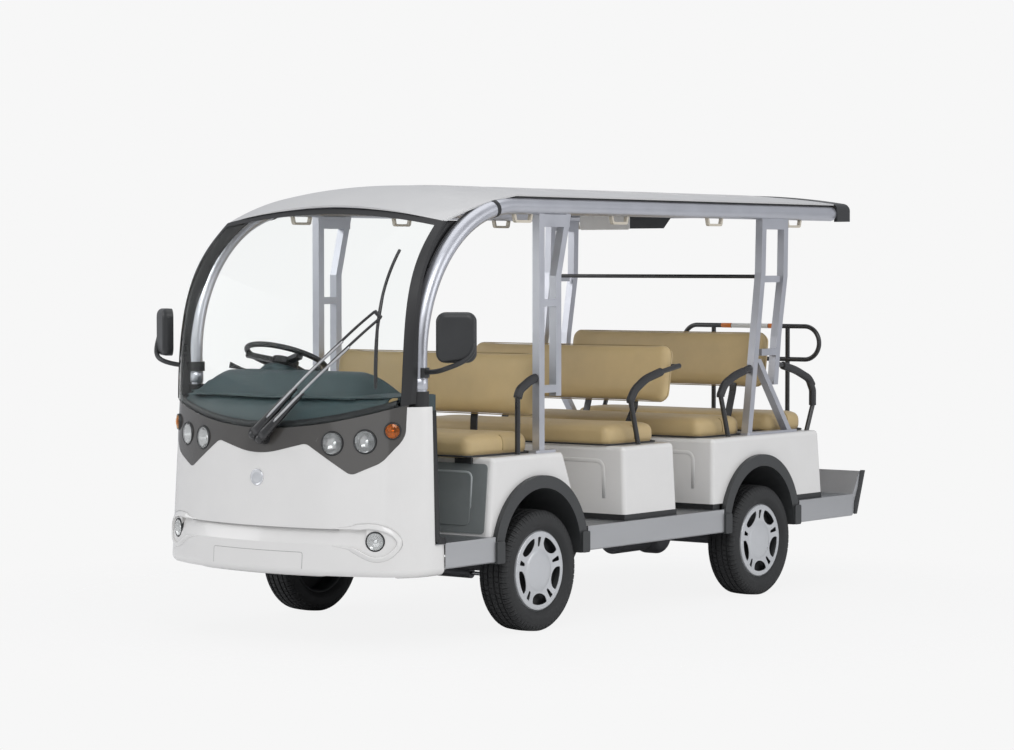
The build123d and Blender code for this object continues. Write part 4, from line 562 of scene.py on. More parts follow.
def tyre_profile():
    """Closed section of the tyre: (offset outward, radius, share of tread pattern, groove)."""
    half = []
    for k in range(13):
        t = k / 12
        x = WALL_FOOT + (TYRE_HALF - WALL_FOOT) * math.sin(t * math.pi / 2)
        half.append((x, BEAD_R + (BULGE_R - RIM_R) * t, 0.0, 0.0))
    for k in range(1, 9):
        t = k / 8
        x = TYRE_HALF - 0.006 * (1 - math.cos(t * math.pi / 2)) ** 1.2
        half.append((x, BULGE_R + (WALL_TOP_R - BULGE_R) * t, t ** 3 * 0.3, 0.0))
    half += [(x, r, 1.0, 0.0) for x, r in SHOULDER]
    tread = []
    for x in reversed(tread_samples()):
        in_groove = any(abs(x - middle) <= width / 2 + MERGE for middle, width in GROOVES)
        crown = TYRE_R - 0.003 * (abs(x) / TREAD_HALF) ** 2
        tread.append((x, crown, 1.0, GROOVE_DEEP if in_groove else 0.0))
    left = [(-x, r, p, g) for x, r, p, g in reversed(half)]
    inside = [(-0.045, BEAD_R, 0.0, 0.0), (0.045, BEAD_R, 0.0, 0.0)]
    return half + tread + left + inside


def wall_relief(x, r):
    """How far the small ring at the rim and the step near the shoulder stand out from the tyre's wall."""
    if abs(x) < WALL_FOOT:
        return 0.0
    ring = 0.0009 * math.exp(-((r - 0.1905) / 0.0022) ** 2)
    step = 1 / (1 + math.exp(-(r - 0.243) / 0.0006)) - 1 / (1 + math.exp(-(r - 0.2475) / 0.0006))
    return ring + 0.0008 * step


def tread_cut(x, share, groove, in_slot, in_sipe):
    """Depth of the tread's pattern: grooves all round, slots across the blocks, and fine sipes."""
    reach = abs(x)
    if share < 1.0:
        return 0.0035 * share / 0.3 if in_slot and share > 0.12 else groove
    if in_slot and reach > 0.0466:
        return max(groove, 0.0062)
    if in_slot and 0.0205 < reach < 0.0412:
        return max(groove, 0.0048)
    if in_sipe and reach < 0.0125:
        return max(groove, 0.0035)
    if in_sipe and reach > 0.0466:
        return max(groove, 0.003)
    return groove


def tyre_mesh(name, side, axle_y):
    profile = tyre_profile()
    pitch = 2 * math.pi / TREAD_PITCHES
    slot, sipe, edge = SLOT_W / TYRE_R, SIPE_W / TYRE_R, TREAD_EDGE / TYRE_R
    steps = [
        (0.0, 0, 0), (edge, 1, 0), (slot - edge, 1, 0), (slot, 0, 0), (pitch / 2 - sipe, 0, 0),
        (pitch / 2 - sipe + edge, 0, 1), (pitch / 2, 0, 1), (pitch / 2 + edge, 0, 0), (pitch * 0.78, 0, 0),
    ]
    points = []
    for p in range(TREAD_PITCHES):
        for offset, in_slot, in_sipe in steps:
            for x, r, share, groove in profile:
                skew = TREAD_SKEW * pitch * math.copysign(min(abs(x), SKEW_REACH) / SKEW_REACH, x)
                angle = p * pitch + offset + skew
                low = r - tread_cut(x, share, groove, in_slot, in_sipe)
                wide = TRACK_HALF + x + math.copysign(wall_relief(x, r), x)
                points.append((side * wide, axle_y + low * math.cos(angle), TYRE_R + low * math.sin(angle)))
    return faces_out(mesh_of(name, points, grid_faces(TREAD_PITCHES * len(steps), len(profile), True, True)))


for place, (side, axle_y) in WHEELS.items():
    piece(
        f"tyre_look_{place}", tyre_mesh(f"tyre_look_{place}", side, axle_y), "tyre",
        body=f"wheel_assembly_{place}", sharp=38, stands_for=(f"tyre_{place}",),
    )


# Wheels
COVER_LINE = (
    (0.0665, 0.0), (0.0665, 0.066), (0.0658, 0.080), (0.0640, 0.090), (0.0618, 0.096), (0.0622, 0.102),
    (0.0662, 0.130), (0.0700, 0.156), (0.0708, 0.1632), (0.0696, 0.1690), (0.0706, 0.1728), (0.0686, 0.1795),
    (0.0630, 0.1832), (0.0560, 0.1838),
)
COVER_T = 0.0035
WINDOW_PAIRS = 5


def rounded_loop(points, reach, steps=5):
    """A closed outline with its corners rounded, as 2-D points."""
    out = []
    n = len(points)
    for i in range(n):
        before, here, after = (Vector((*points[(i + d) % n], 0)) for d in (-1, 0, 1))
        out += [(q.x, q.y) for q in rounded_corner(before, here, after, reach, 0.45, steps)]
    return out


def polar(r, degrees):
    a = math.radians(degrees)
    return (r * math.cos(a), r * math.sin(a))


def wide_window(middle):
    """Half-moon window: round outer edge, bowed inner edge."""
    outer = [polar(0.1575, middle + d) for d in (-21, -14, -7, 0, 7, 14, 21)]
    bow = ((0.131, 21.5), (0.114, 15), (0.1065, 7.5), (0.1045, 0), (0.1065, -7.5), (0.114, -15), (0.131, -21.5))
    inner = [polar(r, middle + d) for r, d in bow]
    return rounded_loop(outer + inner, 0.010, 4)


def narrow_window(middle):
    corners = ((0.1555, -4.6), (0.156, 0), (0.1555, 4.6), (0.111, 3.2), (0.111, -3.2))
    return rounded_loop([polar(r, middle + d) for r, d in corners], 0.006, 4)


def cover_mesh(name):
    """The wheel's cover in its own frame: axis along +X, ten windows cut through."""
    front = list(COVER_LINE)
    back = [(x - COVER_T, max(r - 0.0012, 0.0)) for x, r in reversed(COVER_LINE)]
    mesh = lathe(name, front + back, (0, 0, 0), (1, 0, 0), n=180, start=(0, 1, 0))
    cover = bpy.data.objects.new(name, mesh)
    scene.collection.objects.link(cover)
    cutters = []
    for k in range(WINDOW_PAIRS):
        middle = 90 + 360 / WINDOW_PAIRS * k
        for outline in (wide_window(middle + 180 / WINDOW_PAIRS), narrow_window(middle)):
            cutters.append(prism("cut", outline, (0.03, 0, 0), (0, 1, 0), (0, 0, 1), 0.08))
    tool = bpy.data.objects.new("cutter", joined("cutter", cutters))
    scene.collection.objects.link(tool)
    cut = cover.modifiers.new("windows", "BOOLEAN")
    cut.operation = "DIFFERENCE"
    cut.solver = "EXACT"
    cut.object = tool
    round_off = cover.modifiers.new("lips", "BEVEL")
    round_off.width = 0.0011
    round_off.segments = 3
    round_off.limit_method = "ANGLE"
    round_off.angle_limit = math.radians(50)
    applied(cover)
    done = cover.data
    bpy.data.objects.remove(cover)
    bpy.data.objects.remove(tool)
    return done


cover_base = cover_mesh("cover_base")
rim_base = lathe(
    "rim_base",
    [
        (-0.062, 0.1815), (-0.066, 0.187), (-0.062, 0.189), (-0.056, 0.1825), (-0.03, 0.1775),
        (0.02, 0.1775), (0.05, 0.1822), (0.0585, 0.1900), (0.0625, 0.1895), (0.0635, 0.1875),
        (0.060, 0.1815), (0.052, 0.1765), (0.018, 0.1725), (-0.03, 0.1725), (-0.058, 0.1775),
        (-0.062, 0.1815),
    ],
    (0, 0, 0), (1, 0, 0), n=96,
)
dish_base = lathe(
    "dish_base",
    [
        (0.030, 0.1728), (0.032, 0.158), (0.030, 0.135), (0.020, 0.120), (0.018, 0.095), (0.030, 0.080),
        (0.036, 0.055), (0.036, 0.036), (0.050, 0.0335), (0.053, 0.028), (0.053, 0.0), (0.046, 0.0),
        (0.030, 0.030), (0.028, 0.075), (0.012, 0.095), (0.014, 0.125), (0.025, 0.156), (0.024, 0.1728),
    ],
    (0, 0, 0), (1, 0, 0), n=96,
)
drum_base = lathe(
    "drum_base",
    [
        (0.010, 0.0), (0.010, 0.100), (0.006, 0.106), (-0.018, 0.108), (-0.024, 0.104), (-0.026, 0.060),
        (-0.032, 0.055), (-0.032, 0.017), (-0.028, 0.0155), (0.010, 0.0155),
    ],
    (0, 0, 0), (1, 0, 0), n=72,
)
MARK_R = 0.0415
arc_marks = []
for k in range(6):
    start = math.radians(60 * k + 12)
    turns = [start + 0.09 * i for i in range(8)]
    path = [Vector((0.0659, MARK_R * math.cos(a), MARK_R * math.sin(a))) for a in turns]
    arc_marks.append(ring_sweep("arc", path, path_frames(path, (1, 0, 0)), circle_ring(0.0009, 8)))
cover_base = joined("cover_marks", [cover_base] + arc_marks)

WHEEL_PARTS = (
    ("cover", cover_base, "wheel", 32), ("rim", rim_base, "flare", None), ("dish", dish_base, "liner", None),
    ("drum", drum_base, "cast", None),
)

for place, (side, axle_y) in WHEELS.items():
    at = Matrix.Translation((side * TRACK_HALF, axle_y, TYRE_R))
    if side < 0:
        at = at @ Matrix.Rotation(math.pi, 4, "Z")
    for part, mesh, look, sharp in WHEEL_PARTS:
        piece(
            f"{part}_look_{place}", copy_of(mesh, at), look,
            body=f"wheel_assembly_{place}", sharp=sharp, stands_for=(f"wheel_{place}",),
        )


# Lamps: x, z, radius, lens, slot, CAD node, how far the lens stands out, the well's depth and the lens's dome
LAMPS = {
    "inner_head": (0.382, 0.902, 0.054, "lens", "lamp_clear", "headlamps", 0.009, 0.04, 0.35),
    "outer_head": (0.526, 0.912, 0.054, "lens", "lamp_clear", "headlamps", 0.009, 0.04, 0.35),
    "turn": (0.634, 0.960, 0.038, "amber", "lamp_amber", "turn_lamps", 0.012, 0.028, 0.9),
    "fog": (0.585, 0.480, 0.044, "lens", "lamp_clear", "headlamps", 0.004, 0.016, 0.5),
}


def round_lamp(name, x, z, r, lens_look, slot, node, proud, deep, dome):
    """Round lamp in its well: bezel, bowl with facets, bulb shield and a domed lens."""
    middle, out = nose_point(x, z)
    bezel = [
        (-deep, r - 0.002), (-0.004, r - 0.001), (proud * 0.55, r - 0.0012), (proud * 0.8, r - 0.003),
        (proud * 0.7, r - 0.0062), (-0.003, r - 0.0075), (-deep, r - 0.0085), (-deep, r - 0.002),
    ]
    bowl = []
    for k in range(9):
        t = k / 8
        bowl.append((-0.002 - (deep - 0.008) * (1 - (1 - t) ** 2), (r - 0.0075) * (1 - t * 0.86)))
    bowl.append((-deep + 0.002, 0.0))
    hood = [
        (-deep + 0.004, 0.0), (-deep + 0.004, r * 0.16), (-deep * 0.55, r * 0.19), (-deep * 0.42, r * 0.15),
        (-deep * 0.4, 0.0),
    ]
    lens = []
    for k in range(11):
        t = k / 10
        lens.append((proud * 0.62 + r * dome * 0.28 * (1 - t * t), (r - 0.0045) * t))
    lens += [(a - 0.0028, b) for a, b in reversed(lens)]
    for part, line, n, look in (
        ("bezel", bezel, 72, "trim"), ("bowl", bowl, 48, "reflector"), ("hood", hood, 40, "chrome"),
        ("lens", lens, 72, lens_look),
    ):
        full = f"{name}_{part}"
        piece(full, lathe(full, line, middle, out, n=n), look, stands_for=(node,))


for side, hand in SIDES:
    for kind, (x, *rest) in LAMPS.items():
        round_lamp(f"{kind}_{hand}", side * x, *rest)


# Cushions and backs
CUSHION_LOW = 0.8153
CUSHION_T = 0.096
BENCH_HALF = 0.636
CUSHIONS = {
    "driver": (-1.297, -0.815), "middle": (-0.220, 0.212), "third": (0.565, 0.985), "rear": (1.228, 1.572),
}
BACKS = {"driver": (-0.738, 1.125, 0.310), "middle": (0.340, 1.143, 0.296), "third": (1.222, 1.189, 0.298)}
BACK_HALF = 0.620
BACK_T = 0.072
BACK_LEAN = math.radians(9)
CUSHION_SHRINK = 0.006
BACK_SHRINK = 0.005
PAD_FOOT_ROUND = 0.012
PAD_CELL = 0.0138
PAD_PRESSURE = 4.0
PAD_FRAMES = 20
SIDE_SEAM = 0.56
SIDE_SEAM_LINE = (
    (0.015, 0.012), (0.015, 0.035), (0.012, 0.058), (0.004, 0.078), (-0.012, 0.092), (-0.035, 0.098),
)
BASE_IN = 0.005
BASE_Z = 0.0042
THIRD_FILL = 0.019


def pad_shape(name, half_x, half_y, thick, corner, top_round):
    """A pad lying flat, with rounded plan corners and a round top edge."""
    bm = bmesh.new()
    bmesh.ops.create_cube(bm, size=1.0)
    bmesh.ops.scale(bm, vec=(2 * half_x, 2 * half_y, thick), verts=bm.verts)
    bmesh.ops.translate(bm, vec=(0, 0, thick / 2), verts=bm.verts)
    for chosen, offset, segments in (
        (lambda low, high: high - low > 0.9, corner, 8),
        (lambda low, high: low > 0.9, top_round, 6),
        (lambda low, high: high < 0.1, PAD_FOOT_ROUND, 3),
    ):
        edges = []
        for e in bm.edges:
            heights = sorted(v.co.z / thick for v in e.verts)
            if chosen(*heights) and len(e.link_faces) == 2 and e.calc_face_angle(0) > 1.0:
                edges.append(e)
        bmesh.ops.bevel(bm, geom=edges, offset=offset, segments=segments, profile=0.5, affect="EDGES")
    return from_bmesh(name, bm)


def simulated(mesh, reach):
    """Swells a closed pad a little as a stuffed cover, then keeps each point within reach of where it began."""
    body = bpy.data.objects.new("pad_sim", mesh)
    scene.collection.objects.link(body)
    grid = body.modifiers.new("grid", "REMESH")
    grid.mode = "VOXEL"
    grid.voxel_size = PAD_CELL
    applied(body)
    start = [v.co.copy() for v in body.data.vertices]
    cloth = body.modifiers.new("cloth", "CLOTH")
    settings = cloth.settings
    settings.use_pressure = True
    settings.uniform_pressure_force = PAD_PRESSURE
    settings.quality = 5
    settings.mass = 0.4
    settings.tension_stiffness = 25
    settings.compression_stiffness = 25
    settings.shear_stiffness = 12
    settings.bending_stiffness = 3
    settings.effector_weights.gravity = 0
    cloth.point_cache.frame_start = 1
    cloth.point_cache.frame_end = PAD_FRAMES
    for frame_number in range(1, PAD_FRAMES + 1):
        scene.frame_set(frame_number)
    applied(body)
    scene.frame_set(1)
    for v, was in zip(body.data.vertices, start):
        step = v.co - was
        if step.length > reach:
            v.co = was + step.normalized() * reach
    smooth = body.modifiers.new("relax", "SMOOTH")
    smooth.iterations = 3
    smooth.factor = 0.4
    rise = body.modifiers.new("finer", "SUBSURF")
    rise.levels = 1
    rise.render_levels = 1
    applied(body)
    done = body.data
    bpy.data.objects.remove(body)
    return done


def seam_on(pad, path, r, lift=0.0004, closed=True):
    """A sewn cord laid on a pad's surface along a line near it."""
    tree = BVHTree.FromPolygons([v.co for v in pad.vertices], [tuple(p.vertices) for p in pad.polygons])
    spots = []
    for place in path:
        spot, normal, _, _ = tree.find_nearest(place)
        spots.append(spot + normal * lift)
    frames = path_frames(spots, (0, 0, 1) if closed else (0, 1, 0), closed=closed)
    return ring_sweep("seam", spots, frames, circle_ring(r, 8), closed_path=closed)


def flat_outline(half_x, half_y, corner, z):
    return [Vector((x, y, z)) for x, y in box_ring(2 * half_x, 2 * half_y, corner, 8)]


for name, (y0, y1) in CUSHIONS.items():
    half_y = (y1 - y0) / 2
    pad = simulated(
        pad_shape(
            f"cushion_{name}", BENCH_HALF - CUSHION_SHRINK, half_y - CUSHION_SHRINK, CUSHION_T - CUSHION_SHRINK,
            0.045, 0.034,
        ),
        reach=0.011,
    )
    at = Matrix.Translation((0, (y0 + y1) / 2, CUSHION_LOW))
    seam_y = half_y * (2 * SIDE_SEAM - 1)
    seams = []
    for side in (1, -1):
        path = [Vector((side * (BENCH_HALF + out), seam_y, z)) for out, z in SIDE_SEAM_LINE]
        seams.append(seam_on(pad, smooth_path(path, 0.02), 0.0028, closed=False))
    line = flat_outline(BENCH_HALF - BASE_IN, half_y - BASE_IN, 0.046, BASE_Z)
    base = ring_sweep("base", line, path_frames(line, closed=True), circle_ring(0.0045, 8), closed_path=True)
    full = f"cushion_look_{name}"
    cushion = piece(full, moved(pad, at), "vinyl", stands_for=("cushions",))
    for part, mesh, look in (("seams", joined("seams", seams), "seam"), ("base", base, "trim")):
        piece(f"cushion_{part}_{name}", moved(mesh, at), look, stands_for=("cushions",))

for name, (back_y, back_z, tall) in BACKS.items():
    half_z = tall / 2
    thick = BACK_T + (THIRD_FILL if name == "third" else 0.0)
    pad = simulated(
        pad_shape(f"back_{name}", BACK_HALF - BACK_SHRINK, half_z - BACK_SHRINK, thick - 0.004, 0.052, 0.026),
        reach=0.009,
    )
    lay = (
        Matrix.Translation((0, back_y, back_z)) @ Matrix.Rotation(-BACK_LEAN, 4, "X")
        @ Matrix.Rotation(math.pi / 2, 4, "X") @ Matrix.Translation((0, 0, -BACK_T / 2))
    )
    seam = seam_on(pad, flat_outline(BACK_HALF, half_z, 0.053, thick * 0.42), 0.0024)
    back = piece(f"back_look_{name}", moved(pad, lay), "vinyl", stands_for=("seat_backs",))
    piece(f"back_seams_{name}", moved(seam, lay), "seam", stands_for=("seat_backs",))


# Details that ride on the nose
def nose_bead(name, places, ring, look, fade=0):
    """A moulded bead along places (x, z) on the nose's skin; under the bumper's brow it lays a dark strip of
    painted shadow.

    The ring's u lies in the skin and its v points out. Where fade gives a number of places, the bead grows from
    nothing over that many at each end.
    """
    path, outs = [], []
    for x, z in places:
        point, out = nose_point(x, z)
        path.append(point)
        outs.append(out)
    frames = []
    last = len(path) - 1
    for i, out in enumerate(outs):
        way = (path[min(i + 1, last)] - path[max(i - 1, 0)]).normalized()
        size = min(1.0, (0.5 + min(i, last - i)) / fade) if fade else 1.0
        frames.append((way.cross(out).normalized() * size, out * size))
    return piece(name, ring_sweep(name, path, frames, ring), look)


def flat_path(points, reach, steps=8):
    """A rounded line of (x, z) places, close enough together to follow the nose's bow."""
    rounded = smooth_path([(x, 0, z) for x, z in points], reach, steps)
    path = []
    for a, b in zip(rounded, rounded[1:]):
        count = max(1, int((b - a).length / 0.02))
        path += [a.lerp(b, k / count) for k in range(count)]
    path.append(rounded[-1])
    return [(p.x, p.z) for p in path]


EYE_LINE = (
    (0.400, 0.531), (0.510, 0.534), (0.575, 0.540), (0.640, 0.522), (0.676, 0.474), (0.640, 0.418),
    (0.590, 0.404), (0.545, 0.420), (0.500, 0.448), (0.400, 0.458),
)
EYE_LIP = (
    (0.022, -0.0008), (0.013, 0.0034), (0.004, 0.0078), (0.0, 0.0092), (-0.0035, 0.0082), (-0.0055, 0.0045),
    (-0.006, -0.0008),
)
PLATE_LINE = ((-0.262, 0.352), (-0.262, 0.424), (0.262, 0.424), (0.262, 0.352))
THIN_LINE = ((-0.0011, -0.0005), (-0.0011, 0.0002), (0.0, 0.0004), (0.0011, 0.0002), (0.0011, -0.0005))
# Painted shadow: a dark strip just under the bumper's brow, where the brow's shade falls
BROW_SHADOW_LINE = ((-0.440, 0.5275), (0.430, 0.5275))
BROW_SHADOW_RING = ((-0.0022, -0.0006), (-0.0022, 0.0008), (0.0022, 0.0008), (0.0022, -0.0006))
EMBLEM = (0.0, 0.742)
EMBLEM_R = 0.037

for side, hand in SIDES:
    places = [(side * x, z) for x, z in flat_path(EYE_LINE, 0.032)]
    lip = [(-side * u, v) for u, v in EYE_LIP]
    nose_bead(f"fog_eye_{hand}", places, lip, "white", fade=7)
# Dark strip of painted shadow under the bumper's brow
nose_bead("brow_painted_shadow", flat_path(BROW_SHADOW_LINE, 0.01), BROW_SHADOW_RING, "joint")
nose_bead("plate_line", flat_path(PLATE_LINE, 0.012), THIN_LINE, "joint")

badge_mid, badge_out = nose_point(*EMBLEM)
badge = lathe(
    "badge",
    [
        (-0.002, EMBLEM_R), (0.0022, EMBLEM_R), (0.0044, EMBLEM_R - 0.0012), (0.0052, EMBLEM_R - 0.003),
        (0.0044, EMBLEM_R - 0.0052), (0.0034, EMBLEM_R - 0.0064), (0.0040, EMBLEM_R * 0.6), (0.0046, 0.0),
    ],
    badge_mid, badge_out, n=72,
)
piece("badge", badge, "badge")


# Details on the A pillars: a black joint ring, and a silver ring over the collar
PILLAR_STRAIGHT_Z = RAIL_Z - PILLAR_BEND_R
RAIL_FRONT_Y = PILLAR_Y + PILLAR_BEND_R
JOINT_AT = 77.5


def pillar_place(degrees, side):
    """A point on the bent pillar's centre line, and the line's direction there."""
    a = math.radians(degrees)
    y = RAIL_FRONT_Y - PILLAR_BEND_R * math.cos(a)
    z = PILLAR_STRAIGHT_Z + PILLAR_BEND_R * math.sin(a)
    return Vector((side * RAIL_X, y, z)), Vector((0, math.sin(a), math.cos(a)))


def ring_band(name, centre, axis, r, wide, proud, look):
    """A thin band with rounded edges round a tube."""
    half = wide / 2
    line = [
        (-half, r + 0.0002), (-half, r + proud * 0.6), (-half + proud * 0.4, r + proud),
        (half - proud * 0.4, r + proud), (half, r + proud * 0.6), (half, r + 0.0002), (-half, r + 0.0002),
    ]
    return piece(name, lathe(name, line, centre, axis, n=56), look)


for side, hand in SIDES:
    at, way = pillar_place(JOINT_AT, side)
    ring_band(f"joint_ring_{hand}", at, way, TUBE_R, 0.024, 0.002, "rubber")
    ring_band(
        f"silver_ring_{hand}", (side * RAIL_X, PILLAR_Y, 1.161), (0, 0, 1), TUBE_R, 0.048, 0.003, "silver",
    )


# Black strip on the outer bend of each pillar, from the glass's corner to the rail
STRIP_TURN = math.radians(28)
STRIP_SPAN = (34, 90)
strip_ring = box_ring(0.020, 0.007, 0.003)
for side, hand in SIDES:
    path, frames = [], []
    for k in range(25):
        at, way = pillar_place(STRIP_SPAN[0] + (STRIP_SPAN[1] - STRIP_SPAN[0]) * k / 24, side)
        outward = Vector((side, 0, 0)).cross(way) * side
        if outward.z < 0:
            outward = -outward
        lean = outward * math.cos(STRIP_TURN) - Vector((side, 0, 0)) * math.sin(STRIP_TURN)
        path.append(at + lean * (TUBE_R + 0.002))
        frames.append((way.cross(lean).normalized(), lean))
    piece(f"pillar_strip_{hand}", ring_sweep("strip", path, frames, strip_ring), "rubber")


# Black edging of the nose's rear edge, down to the deck and a little way back
DOOR_Y = -1.666
EDGE_W = 0.028
EDGE_X = BODY_HALF + 0.0195
edge_ring = box_ring(EDGE_W, 0.014, 0.003)
for side, hand in SIDES:
    foot = DECK_TOP + 0.011
    line = [
        (side * (BODY_HALF - 0.006), DOOR_Y + EDGE_W / 2, 1.045),
        (side * (EDGE_X - 0.006), DOOR_Y + EDGE_W / 2, foot),
        (side * EDGE_X, DOOR_Y + 0.062, foot),
    ]
    edging = tube(f"door_edge_{hand}", line, edge_ring, bend=0.012, up=(side, 0, 0))
    piece(f"door_edge_{hand}", edging, "rubber")


# Pressed beads on the front faces of the boxes, and the latch of the front box
BEAD_RING = [(0.010 * u, 0.0024 * v) for u, v in circle_ring(1.0, 16)]
PANEL_RING = [(0.0055 * u, 0.0036 * v) for u, v in circle_ring(1.0, 14)]
PANEL_LEAN = 0.0959
PANEL_FOOT = (-1.2694, 0.473)
PANEL_LINE = ((0.609, 0.585), (0.609, 0.7465), (0.06, 0.7465))
BOX_FOOT_Z = 0.489
BOX_TOP_Z = 0.815


def box_bead(name, y_low, y_high):
    """An inverted U pressed in a box's front face, in two mirrored halves."""
    lean = (y_high - y_low) / (BOX_TOP_Z - BOX_FOOT_Z)

    def at(x, z):
        return (x, y_low + (z - BOX_FOOT_Z) * lean - 0.0004, z)

    top = BOX_TOP_Z - 0.072
    meshes = []
    for side in (1, -1):
        line = [at(side * 0.60, BOX_FOOT_Z + 0.075), at(side * 0.60, top), at(side * 0.05, top)]
        meshes.append(tube(name, line, BEAD_RING, bend=0.045, up=(0, -1, 0)))
    piece(name, joined(name, meshes), "white")


box_bead("bead_middle", -0.202, -0.215)
box_bead("bead_rear", 0.562, 0.562)


def panel_place(x, z):
    return (x, PANEL_FOOT[0] + (z - PANEL_FOOT[1]) * PANEL_LEAN, z)


# The front panel's beads take the light grey bead look, a painted highlight along each bead
for side, hand in SIDES:
    line = [panel_place(side * x, z) for x, z in PANEL_LINE]
    bead = tube(f"panel_bead_painted_highlight_{hand}", line, PANEL_RING, bend=0.035, up=(0, -1, 0))
    piece(f"panel_bead_painted_highlight_{hand}", bead, "bead")
LATCH = ((-0.048, 0.0), (0.048, 0.0), (0.048, 0.028), (-0.048, 0.028))
latch = prism("latch", LATCH, (0.565, -1.240, 0.784), (1, 0, 0), (0, 0.1, 1), 0.016)
piece("panel_latch", softened(latch, 0.0035, 3), "trim")


# Foam sleeves over the padded lengths of the arm rails
ARM_X = BODY_HALF - 0.057
SLEEVE_R = 0.0206
SLEEVES = {
    "driver": ((-0.974, 1.073), (-0.959, 1.109), (-0.875, 1.152), (-0.826, 1.163)),
    "middle": ((-0.071, 1.022), (-0.074, 1.031), (-0.040, 1.078), (0.053, 1.128), (0.181, 1.158)),
    "third": ((0.716, 1.018), (0.715, 1.027), (0.751, 1.081), (0.853, 1.123), (0.923, 1.139)),
    "rear": ((1.300, 1.160), (1.427, 1.132), (1.556, 1.086), (1.590, 1.048)),
}
for side, hand in SIDES:
    for name, line in SLEEVES.items():
        points = [(side * ARM_X, y, z) for y, z in line]
        sleeve = tube(f"sleeve_{name}_{hand}", points, circle_ring(SLEEVE_R, 22), bend=0.034, up=(1, 0, 0))
        piece(f"sleeve_{name}_{hand}", softened(sleeve, 0.003, 3, 60), "sleeve")


# Reflecting tape round the rear rail
HOOP_AT = (2.0285, 1.345)
HOOP_R = 0.0125
for name, x0, x1, look in (("white", 0.0, 0.118, "white_tape"), ("orange", 0.121, 0.185, "orange")):
    for side, hand in SIDES:
        middle = Vector((side * (x0 + x1) / 2, *HOOP_AT))
        ring_band(f"tape_{name}_{hand}", middle, (1, 0, 0), HOOP_R, x1 - x0, 0.0006, look)


# Wiper dressing: a steel rod over the upper length of each arm as painted highlight along its top, a black
# lower housing on each arm, and the fixings at their ends
GLASS_SECTIONS = (
    (0.940, nose_front(0.940), NOSE_ARC_R), (1.2, NOSE_Y + 0.070, 1.6), (1.4, NOSE_Y + 0.118, 1.9),
    (1.6, NOSE_Y + 0.209, 2.4), (RAIL_Z - 0.148, NOSE_Y + 0.376, 2.8), (RAIL_Z + 0.002, NOSE_Y + 0.552, 3.0),
)
WIPER_ARMS = (((0.006, 0.935), (0.545, 1.478)), ((0.044, 0.918), (0.578, 1.452)))
ARM_OFF = (0.040, 0.034)


def glass_place(x, z, off):
    """A point in front of the glass, or behind it where off is negative."""
    for (z0, y0, r0), (z1, y1, r1) in zip(GLASS_SECTIONS, GLASS_SECTIONS[1:]):
        if z <= z1 or z1 == GLASS_SECTIONS[-1][0]:
            share = (z - z0) / (z1 - z0)
            return bow_point(x, z, y0 + share * (y1 - y0), r0 + share * (r1 - r0), BODY_HALF, off)[0]


def arm_place(arm, share, lift=0.0):
    (x0, z0), (x1, z1) = WIPER_ARMS[arm]
    off = ARM_OFF[0] + share * (ARM_OFF[1] - ARM_OFF[0])
    return glass_place(x0 + share * (x1 - x0), z0 + share * (z1 - z0), off + lift)


def tapered_bar(name, path, wide, tall, corner=0.35):
    """A bar with a rounded section whose width and height go from a first to a last value along its path."""
    rings = []
    for i, (centre, (right, up)) in enumerate(zip(path, path_frames(path, (0, -1, 0)))):
        t = i / (len(path) - 1)
        width, height = (first + t * (last - first) for first, last in (wide, tall))
        ring = box_ring(width, height, corner * min(width, height), 4)
        rings.append([centre + right * u + up * v for u, v in ring])
    return skinned(name, rings)


for arm in (0, 1):
    path = [arm_place(arm, 0.01 + 0.034 * k, 0.0) for k in range(12)]
    base = tapered_bar(f"wiper_base_{arm}", path, (0.046, 0.022), (0.032, 0.018))
    piece(f"wiper_base_{arm}", base, "black_metal")
    # Steel rod over the arm's top: painted highlight along the arm
    path = [arm_place(arm, 0.14 + 0.02 * k, 0.0125 - 0.0004 * k) for k in range(32)]
    rod = ring_sweep(f"wiper_highlight_rod_{arm}", path, path_frames(path, (0, -1, 0)), circle_ring(0.0054, 14))
    piece(f"wiper_highlight_rod_{arm}", rod, "steel")
    x, z = WIPER_ARMS[arm][0]
    foot, out = nose_point(x - 0.004, z - 0.004)
    pivot = lathe(
        f"wiper_pivot_{arm}",
        [(0.0, 0.027), (0.012, 0.026), (0.030, 0.022), (0.046, 0.019), (0.052, 0.016), (0.055, 0.010),
         (0.056, 0.0)],
        foot, out, n=40,
    )
    piece(f"wiper_pivot_{arm}", pivot, "black_metal")

path = []
for k in range(13):
    t = k / 12
    path.append(glass_place(0.5785 - 0.0325 * t, 1.17 + 0.55 * t, 0.031 - 0.004 * math.sin(math.pi * t)))
carrier = tapered_bar("blade_carrier", path, (0.005, 0.004), (0.010, 0.008))
piece("blade_carrier", carrier, "black_metal")


# Dashboard dressing: column shroud, instrument hood and stalks
WHEEL_MID = Vector((-0.33, -1.438, 1.246))
COLUMN_LEAN = math.radians(22)
COLUMN_AXIS = Vector((0, math.sin(COLUMN_LEAN), math.cos(COLUMN_LEAN)))
shroud = lathe(
    "column_shroud",
    [
        (-0.046, 0.018), (-0.045, 0.050), (-0.049, 0.072), (-0.058, 0.090), (-0.078, 0.104),
        (-0.110, 0.112), (-0.150, 0.116), (-0.190, 0.112), (-0.190, 0.026), (-0.060, 0.026),
        (-0.050, 0.018),
    ],
    WHEEL_MID, COLUMN_AXIS, n=64,
)
piece("column_shroud", shroud, "dash")


HOOD_X = (-0.545, 0.43)
HOOD_Y = (-1.875, -1.492)
HOOD_Z = 1.094
HOOD_RISE = 0.105


